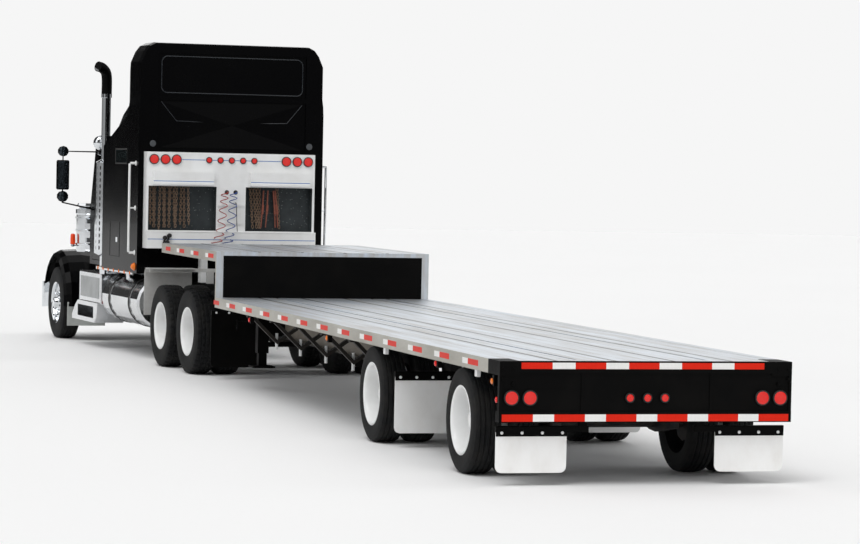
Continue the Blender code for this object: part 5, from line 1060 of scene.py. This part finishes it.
WINDOW_X, WINDOW_START, WINDOW_END = 1.2595, SLEEPER_REAR + 0.625, SLEEPER_REAR + 1.295
frames = []
for z in (2.583, 2.777):
    frames += mirrored((WINDOW_X - 0.006, WINDOW_START, z), (WINDOW_X + 0.006, WINDOW_END, z + 0.02), 0.003)
for at in (WINDOW_START, WINDOW_END - 0.02):
    frames += mirrored((WINDOW_X - 0.006, at, 2.583), (WINDOW_X + 0.006, at + 0.02, 2.797), 0.003)
build("sleeper_window_rubbers", frames, BLACK_RUBBER_AND_HOLE_SHADE, "tractor", smooth_deg=25)
panes = [bar((side * WINDOW_X - 0.004, WINDOW_START + 0.015, 2.60),
             (side * WINDOW_X + 0.0015, WINDOW_END - 0.015, 2.78), 0.001) for side in SIDES]
build("sleeper_window_panes", panes, window_glass, "tractor", smooth_deg=25)
RAIL_X, RAIL_AT = SLEEPER_HALF + 0.085, SLEEPER_REAR + 0.12
RAIL_TOP, RAIL_MIDDLE, RAIL_FOOT = 2.60, 2.01, 1.42
rail_xs = (SLEEPER_HALF - 0.02, RAIL_X - 0.012, *(RAIL_X,) * 5, RAIL_X - 0.012, SLEEPER_HALF - 0.02)
rail_zs = (RAIL_TOP, RAIL_TOP, 2.588, 2.30, 2.0, 1.70, 1.432, RAIL_FOOT, RAIL_FOOT)
flange = [(0, 0.985), (0.034, 0.985), (0.034, 1.003), (0.02, 1.012), (0, 1.012)]
flanges = spun(flange, 0, row_of(0, RAIL_AT, (RAIL_TOP, RAIL_FOOT, RAIL_MIDDLE)), 12)
for name, side, material in (("left", 1, WHITE_ENAMEL), ("right", -1, CHROME)):
    stand = row_of(side * np.linspace(SLEEPER_HALF * 0.98, RAIL_X, 4), RAIL_AT, RAIL_MIDDLE)
    rail = piped(row_of(side * np.array(rail_xs), RAIL_AT, rail_zs), 0.0165, 10, ALONG)
    build(f"{name}_grab_rail_skin", [rail, piped(stand, 0.010, 8), flanges * (side * SLEEPER_HALF, 1, 1)],
          material, "tractor")

# %% [markdown]
# ## Exhaust, tanks and steps
# Guards round the stacks are chromed sheet with punched slots, drawn as dark ovals of painted shade; the
# tips above are blackened by heat.
# The tanks hang in dark straps lined with rubber, and the locker below the door has a plain grey lid.

# %% Slots, tips, straps, lids
STACK_AT, STACK_X, GUARD_RADIUS, GUARD_SIDES = 4.02, 1.17, 0.135, 14
ELBOW_UP = 3.70
# Each slot is a flat dark oval on the guard: painted shade where the sheet is open.
slot_edge = np.linspace(0, 2 * np.pi, 12, endpoint=False)[:, None]
slot_heights = np.arange(1.42, 2.56, 0.085)[:, None, None, None] * UP
slot_lift = np.array((0.0012, 0.0012, -0.004, -0.004))[:, None, None]
slot_shades = []
for side in SIDES:
    for turn in np.radians(np.arange(-165, 166, 30)):
        outward = np.array((math.cos(turn), math.sin(turn), 0.0))
        tangent = np.array((-math.sin(turn), math.cos(turn), 0.0))
        oval = RINGS[..., None] * (0.011 * np.cos(slot_edge) * tangent + 0.030 * np.sin(slot_edge) * UP)
        base = outward * (GUARD_RADIUS * math.cos(math.pi / GUARD_SIDES) + 0.0005)
        slot_shades.append(base + (side * STACK_X, STACK_AT, 0.0) + oval + slot_lift * outward + slot_heights)
build("guard_slots", slot_shades, BLACK_RUBBER_AND_HOLE_SHADE, "tractor", smooth_deg=20)
tip_line = [(0, 0, ELBOW_UP - 0.16), (0, 0, ELBOW_UP + 0.04), (0.02, -0.02, ELBOW_UP + 0.14),
            (0.08, -0.06, 3.90), (0.152, -0.10, 3.92)]
tips = [piped(curved((np.array(tip_line) + (STACK_X, STACK_AT, 0)) * (side, 1, 1), 22), 0.0715, 20, ALONG)
        for side in SIDES]
build("stack_tips", tips, CHASSIS_BLACK, "tractor")
clamps = spun(hoop(0.06, 0.0735, 0.03, 0.025), 2, both(STACK_X, STACK_AT, ELBOW_UP - 0.18), 24)
build("stack_clamps", [clamps], CHROME, "tractor", wrap=(True, True))

TANK_X, TANK_Z, TANK_RADIUS = 0.88, 0.745, 0.33
strap = hoop(TANK_RADIUS - 0.004, TANK_RADIUS + 0.0085, 0.034, 0.032)
straps = spun(strap, 1, both(TANK_X, (2.40, 3.50), TANK_Z), 48)
build("tank_straps", [straps], BLACK_RUBBER_AND_HOLE_SHADE, "tractor", wrap=(True, True), smooth_deg=30)
LOCKER_START, LOCKER_END, LOCKER_FACE = 4.09, 5.385, 1.19
lids = mirrored((LOCKER_FACE - 0.005, LOCKER_START + 0.10, 0.70),
                (LOCKER_FACE + 0.005, LOCKER_END - 0.10, 0.99), 0.004)
lids += mirrored((0.62, LOCKER_START - 0.006, 0.68), (1.10, LOCKER_START + 0.002, 0.98), 0.004)
build("locker_lids", lids, weathered("grey_stove_enamel", "A9ACAD", "7E7B76", 0.4, 0.2), "tractor",
      smooth_deg=25)
# The red reflectors take the lamp lens, which glows a little from within, though they are no lamp: painted light.
reflector = [(0, -0.012), (0.034, -0.012), (0.038, -0.008), (0.038, 0.002), (0, 0.002)]
build("locker_reflectors", [spun(reflector, 1, both(1.12, LOCKER_START, 0.66), 16)], LENS_RED, "tractor")
spots = row_of(1.12, LOCKER_START + 0.14 + 0.11 * np.arange(10), 1.0595)
build("step_grip_strips", mirrored(spots - (0.06, 0, 0), spots + (0.06, 0.06, 0.0045), 0.001), BLACK_RUBBER_AND_HOLE_SHADE,
      "tractor", smooth_deg=25)

# %% [markdown]
# ## Skirt lamps
# A bright strip under the sleeper carries seven small amber lamps on each side.

# %% Lamp strip under the sleeper
SKIRT_X = 1.262
strips = [bar((side * SKIRT_X - 0.012, 2.02, 1.125), (side * SKIRT_X + 0.006, 4.06, 1.165), 0.003)
          for side in SIDES]
build("skirt_lamp_strip", strips, POLISHED_ALUMINIUM, "tractor", smooth_deg=25)
spots = row_of(SKIRT_X + 0.005, np.linspace(2.15, 3.95, 7), 1.146)
build("skirt_lamps", side_domes(spots, SIDE_LAMP_RADIUS), LENS_AMBER, "tractor")

# %% [markdown]
# ## Mirrors and the lamps beside the cab
# Each door carries a tall mirror between two round ones. The glass is a thin silvered plate, coloured
# dark as a painted reflection of the lorry's dark side. A chrome work lamp looks back from beside the
# exhaust pipe, an orange lamp stands beside each air cleaner, and an amber one sits under the sleeper's
# rear corner.

# %% Mirror glass, work lamps and side lamps
MIRROR_X, MIRROR_FACE = 1.49, 5.2153
# Silvered glass coloured dark: a painted reflection of the lorry's dark side.
MIRROR_GLASS_PAINTED_DARK = weathered("silvered_mirror_glass", "3B4247", "23282C", 0.04, 0.9, 300, 2, 0.3, 0.0)
FLAP_GREY = weathered("grey_flap_rubber", "B4B7B4", "83857F", 0.6, 0.0, 120, 2, 0.4, 0.05)


def round_plate(radius, thick, centres):
    """A disc whose face swells by a tenth of its radius and whose edge is rounded, facing backward."""
    face = [(radius * share, -thick - 0.1 * radius * (1 - share**2)) for share in np.linspace(0, 1, 6)]
    return spun([*face, (radius + 0.002, -thick * 0.5), (radius + 0.002, 0), (0, 0)], 1, centres, 20)


for name, side in (("left", 1), ("right", -1)):
    plate = bar((side * MIRROR_X - 0.078, MIRROR_FACE - 0.0015, 2.215),
                (side * MIRROR_X + 0.078, MIRROR_FACE + 0.0005, 2.605), 0.001)
    build(f"{name}_mirror_glass", [plate], MIRROR_GLASS_PAINTED_DARK, f"{name}_door", smooth_deg=25)
    rounds = round_plate(0.066, 0.001, row_of(side * MIRROR_X, MIRROR_FACE, (2.745, 2.105)))
    build(f"{name}_round_mirrors", [rounds], MIRROR_GLASS_PAINTED_DARK, f"{name}_door")

WORK_LAMP_AT, SIDE_LAMP = 4.16, np.array((1.222, 5.705, 1.385))
bowl = [(0, -0.052), (0.030, -0.050), (0.062, -0.040), (0.086, -0.022), (0.099, 0.0), (0.103, 0.004),
        (0.103, 0.018), (0.094, 0.024), (0.070, 0.058), (0.040, 0.078), (0, 0.084)]
build("work_lamps", [spun(bowl, 1, both(1.205, WORK_LAMP_AT, 2.87), 28)], CHROME, "tractor")
arm = row_of((0.99, 1.12, 1.24), WORK_LAMP_AT + np.array((0.03, 0.04, 0.04)), (2.70, 2.68, 2.72))
arms = [piped(curved(arm * (side, 1, 1), 10), 0.011, 8, ALONG) for side in SIDES]
build("work_lamp_arms", arms, CHROME, "tractor")
lens = [(0, 0.185), (0.020, 0.182), (0.033, 0.165), (0.036, 0.10), (0.036, 0.035), (0.030, 0.030),
        (0, 0.030)]
foot = [(0, 0.034), (0.024, 0.033), (0.030, 0.018), (0.030, 0.004), (0.012, -0.004), (0, -0.004)]
build("cleaner_side_lamps", [spun(lens, 2, both(*SIDE_LAMP), 16)], LENS_ORANGE, "tractor")
stem = row_of(np.linspace(1.165, SIDE_LAMP[0], 3), SIDE_LAMP[1], SIDE_LAMP[2] + 0.012)
arms = [piped(stem * (side, 1, 1), 0.008, 8) for side in SIDES]
build("cleaner_side_lamp_feet", [spun(foot, 2, both(*SIDE_LAMP), 16), *arms], CHROME, "tractor")
beehive = [(0, 0), (0.052, 0), (0.052, 0.008), (0.045, 0.014), (0.045, 0.020), (0.038, 0.024),
           (0.036, 0.034), (0.024, 0.044), (0, 0.048)]
corner_lamp = spun(beehive, 0, (SLEEPER_HALF, 1.90, 1.235), 20)
build("sleeper_corner_lamps", [corner_lamp, corner_lamp * (-1, 1, 1)], LENS_AMBER, "tractor")

# %% [markdown]
# ## Hood, wings and nose
# The grey mudflap behind each front wheel is a rubber sheet. Louvres are pressed in the hood's sides,
# rubber latches hold it to the cab, and fine mesh fills the grille between its bars. None of the front
# is in the picture, so it is a guess.

# %% Wings, latches, louvres and grille
build("hood_flap_skins", mirrored((0.6185, 6.1535, 0.2185), (1.1815, 6.1685, 0.5615)), FLAP_GREY, "hood",
      smooth_deg=25)
HOOD_REAR_AT, HOOD_MIDDLE_AT = 5.5153, 6.64015
LOUVRES = 6.05 + 0.085 * np.arange(6)
LOUVRE_HEIGHTS = (1.42, 1.44, 1.66, 1.68)
LOUVRE_SWELL = np.array((-0.004, 0.002, 0.002, -0.004))


def hood_side(at):
    """Half the hood's breadth at a place: it narrows evenly from 0.60 to 0.56 metres at its middle."""
    return 0.60 - 0.04 * (at - HOOD_REAR_AT) / (HOOD_MIDDLE_AT - HOOD_REAR_AT)


louvres = [piped(row_of(side * (hood_side(at) + LOUVRE_SWELL), at, LOUVRE_HEIGHTS), 0.010, 8, ALONG)
           for side in SIDES for at in LOUVRES]
build("hood_louvres", louvres, GLOSS_BLACK, "hood")
build("hood_latches", mirrored((0.594, 5.535, 1.50), (0.618, 5.565, 1.62), 0.005), BLACK_RUBBER_AND_HOLE_SHADE, "hood",
      smooth_deg=25)
MESH_HALF = 0.0015
upright, level = np.linspace(-0.47, 0.47, 48), np.linspace(1.02, 1.78, 39)
wires = [bar(row_of(upright - MESH_HALF, 7.7665, 1.01), row_of(upright + MESH_HALF, 7.7690, 1.79), THIN),
         bar(row_of(-0.48, 7.7695, level - MESH_HALF), row_of(0.48, 7.7715, level + MESH_HALF), THIN)]
build("grille_mesh", wires, POLISHED_ALUMINIUM, "hood", smooth_deg=25)

# %% [markdown]
# ## Headlamps, bumper lamps and roof lamps
# Glass domes in chrome rings: the rings are one closed section turned about the line of sight, and the
# lenses swell a little in front of them. The bumper's own lamps are nearly flush with its face.

# %% Lamps at the front and on the roof
POD_FACE, BUMPER_FACE, CAB_ROOF, FLUSH = 7.62, 7.935, 2.97, 0.15
ring = np.array([(0.070, -0.004), (0.070, 0.016), (0.074, 0.020), (0.086, 0.012), (0.090, -0.004)])
lens = np.array([(0, 0.026), (0.03, 0.024), (0.055, 0.017), (0.071, 0.006), (0.071, -0.002), (0, -0.002)])
for name, body, spots, height in (("headlamp", "hood", both((0.58, 0.77), POD_FACE, 1.12), 1.0),
                                  ("bumper_lamp", "tractor", both(0.42, BUMPER_FACE, 0.62), FLUSH)):
    build(f"{name}_bezels", [spun(ring * (1, height), 1, spots, 28)], CHROME, body, wrap=(True, True))
    build(f"{name}_lenses", [spun(lens * (1, height), 1, spots, 28)], LENS_CLEAR, body)
bullet = [(0, -0.01), (0.040, -0.01), (0.040, 0.008), (0.034, 0.016), (0.032, 0.034), (0.020, 0.048),
          (0, 0.052)]
build("roof_marker_lamps", [spun(bullet, 2, row_of((-0.72, -0.16, 0.0, 0.16, 0.72), 4.70, CAB_ROOF), 16)],
      LENS_AMBER, "tractor")

# %% [markdown]
# ## Windscreen wipers, air cleaner bands and the sleeper's hatch
# Two wipers park on the windscreen, each an arm and a blade. Bands clamp each air cleaner, and the
# sleeper's locker hatch shows as a rubber seal with a chrome paddle latch.

# %% Wipers, bands, hatch and panel creases
SCREEN_FOOT, SCREEN_HEAD = np.array((5.4853, 2.02)), np.array((5.2253, 2.84))


def on_screen(x, share, proud):
    """A place on the windscreen: foot to head by a share, moved square to the glass by a distance."""
    rise = SCREEN_HEAD - SCREEN_FOOT
    at, slope = SCREEN_FOOT + rise * share, rise / np.linalg.norm(rise)
    return np.array((x, at[0] + slope[1] * proud, at[1] - slope[0] * proud))


wipers = []
pivot = [(0, -0.012), (0.016, -0.012), (0.016, 0.012), (0, 0.014)]
for x in (-0.42, 0.30):
    arm = [on_screen(x, 0.03, 0.016), on_screen(x + 0.06, 0.20, 0.024), on_screen(x + 0.13, 0.38, 0.020)]
    wipers.append(piped(curved(arm, 10), 0.006, 8, (1, 0, 0)))
    blade = [on_screen(x + 0.02, 0.12, 0.012), on_screen(x + 0.22, 0.62, 0.012)]
    wipers.append(piped(np.linspace(*blade, 4), 0.007, 6, (1, 0, 0)))
    wipers.append(spun(pivot, 1, on_screen(x, 0.03, 0.016), 12))
build("windscreen_wipers", wipers, BLACK_RUBBER_AND_HOLE_SHADE, "tractor")
clamps = spun(hoop(0.168, 0.176, 0.014, 0.010), 2, both(1.01, SIDE_LAMP[1], (1.42, 1.62, 1.80)), 32)
build("air_cleaner_bands", [clamps], CHROME, "tractor", wrap=(True, True))
HATCH_AT, HATCH_UP = (2.74, 3.27), (1.34, 1.80)
hatch = []
for side in SIDES:
    loop = row_of(side * (SLEEPER_HALF + 0.001), np.take(HATCH_AT, (0, 1, 1, 0, 0)),
                  np.take(HATCH_UP, (0, 0, 1, 1, 0)))
    hatch += [piped(np.linspace(one, two, 3), 0.004, 6, (1, 0, 0)) for one, two in zip(loop[:-1], loop[1:])]
build("sleeper_hatch_seal", hatch, BLACK_RUBBER_AND_HOLE_SHADE, "tractor")
paddles = mirrored((SLEEPER_HALF - 0.006, 2.83, 1.53), (SLEEPER_HALF + 0.006, 2.93, 1.60), 0.003)
build("sleeper_hatch_latches", paddles, CHROME, "tractor", smooth_deg=25)

PANEL_FLOOR, BEAD_CORNER = SLEEPER_REAR + 0.015, 0.08
outline = []
for x, z, start in ((0.89, 3.94, 0), (-0.89, 3.94, 90), (-0.89, 3.62, 180), (0.89, 3.62, 270)):
    turn = np.radians(start + np.linspace(0, 90, 8))
    outline += [*row_of(x + BEAD_CORNER * np.cos(turn), PANEL_FLOOR - 0.002, z + BEAD_CORNER * np.sin(turn))]
crease = row_of((0.97, 0.76, 0.0, -0.76, -0.97), PANEL_FLOOR - 0.001, (3.42, 3.17, 3.15, 3.17, 3.42))
beads = [piped([*outline, outline[0]], 0.007, 8, ALONG), piped(crease, 0.006, 8, ALONG)]
# The beads are a lighter black than the panel's own paint: a painted highlight along the stamped lines.
crease_highlight_black = weathered("satin_black_enamel", "1D2126", "0C0E10", 0.25, 0.0, 200, 2, 0.3, 0.03)
build("sleeper_panel_beads", beads, crease_highlight_black, "tractor")

# %% [markdown]
# ## Floor and light
# The picture has a pale, even ground with one soft shadow under the lorry. A wide floor carries the
# shadow, and one wide sun throws it. The surroundings hold five tall bright panels with dark gaps
# between them, so the polished paint and the chrome have something long and quiet to mirror.

# %% Floor, surroundings and lights
FLOOR_REACH = 90.0
HEDGE_TOP = 0.02
STRIPES, FIRST_STRIPE = 5.0, -1.4
SUN_TURN, SUN_HEIGHT, SUN_WIDTH, SUN_STRENGTH = math.radians(35), math.radians(58), math.radians(35), 1.30
floor_material, tree, shader, places = new_material("pale_matt_studio_floor")
cloud = add_node(tree, "ShaderNodeTexNoise", {"Vector": places, "Scale": 0.15, "Detail": 2.0})
tone = add_node(tree, "ShaderNodeMix", {0: cloud.outputs["Fac"], 6: linear("F5F5F5"), 7: linear("F7F7F7")},
                data_type="RGBA")
connect(tree, shader, {"Base Color": tone.outputs[2], "Roughness": 0.9, "Specular IOR Level": 0.1})
floor_mesh = bpy.data.meshes.new("studio_floor")
corners = [(x * FLOOR_REACH, y * FLOOR_REACH, 0) for x, y in ((-1, -1), (1, -1), (1, 1), (-1, 1))]
floor_mesh.from_pydata(corners, [], [(0, 1, 2, 3)])
floor_mesh.materials.append(floor_material)
floor = bpy.data.objects.new("studio_floor", floor_mesh)
bpy.context.scene.collection.objects.link(floor)

surroundings = bpy.data.worlds.new("pale_surroundings")
surroundings.use_nodes = True
tree = surroundings.node_tree
way = add_node(tree, "ShaderNodeTexCoord").outputs["Generated"]
axes = add_node(tree, "ShaderNodeSeparateXYZ", {"Vector": way}).outputs
bearing = add_node(tree, "ShaderNodeMath", {0: axes["Y"], 1: axes["X"]}, operation="ARCTAN2")
turns = add_node(tree, "ShaderNodeMath", {0: bearing.outputs[0], 1: STRIPES, 2: FIRST_STRIPE},
                 operation="MULTIPLY_ADD")
wave = add_node(tree, "ShaderNodeMath", {0: turns.outputs[0]}, operation="SINE")
panels = add_node(tree, "ShaderNodeMapRange", {"Value": wave.outputs[0], "From Min": -0.3, "From Max": 0.2,
                                               "To Min": 0.06, "To Max": 1.35})
hedge = add_node(tree, "ShaderNodeMapRange", {"Value": axes["Z"], "From Min": HEDGE_TOP,
                                              "From Max": HEDGE_TOP + 0.15, "To Min": 0.25})
dome_light = add_node(tree, "ShaderNodeMath", {0: panels.outputs[0], 1: hedge.outputs[0]},
                      operation="MULTIPLY")
seen = add_node(tree, "ShaderNodeLightPath").outputs["Is Camera Ray"]
strength = add_node(tree, "ShaderNodeMix", {0: seen, 2: dome_light.outputs[0], 3: 1.0})
connect(tree, tree.nodes["Background"], {"Strength": strength.outputs[0], "Color": linear("F6F6F6")})
bpy.context.scene.world = surroundings

lamp = bpy.data.lights.new("overhead_softbox", "SUN")
lamp.energy, lamp.angle = SUN_STRENGTH, SUN_WIDTH
softbox = bpy.data.objects.new("overhead_softbox", lamp)
source = Vector((math.sin(SUN_TURN) * math.cos(SUN_HEIGHT), math.cos(SUN_TURN) * math.cos(SUN_HEIGHT),
                 math.sin(SUN_HEIGHT)))
softbox.rotation_euler = source.to_track_quat("Z", "Y").to_euler()
bpy.context.scene.collection.objects.link(softbox)
bpy.context.scene.view_settings.view_transform = "Standard"
print("lights", len(bpy.data.lights))
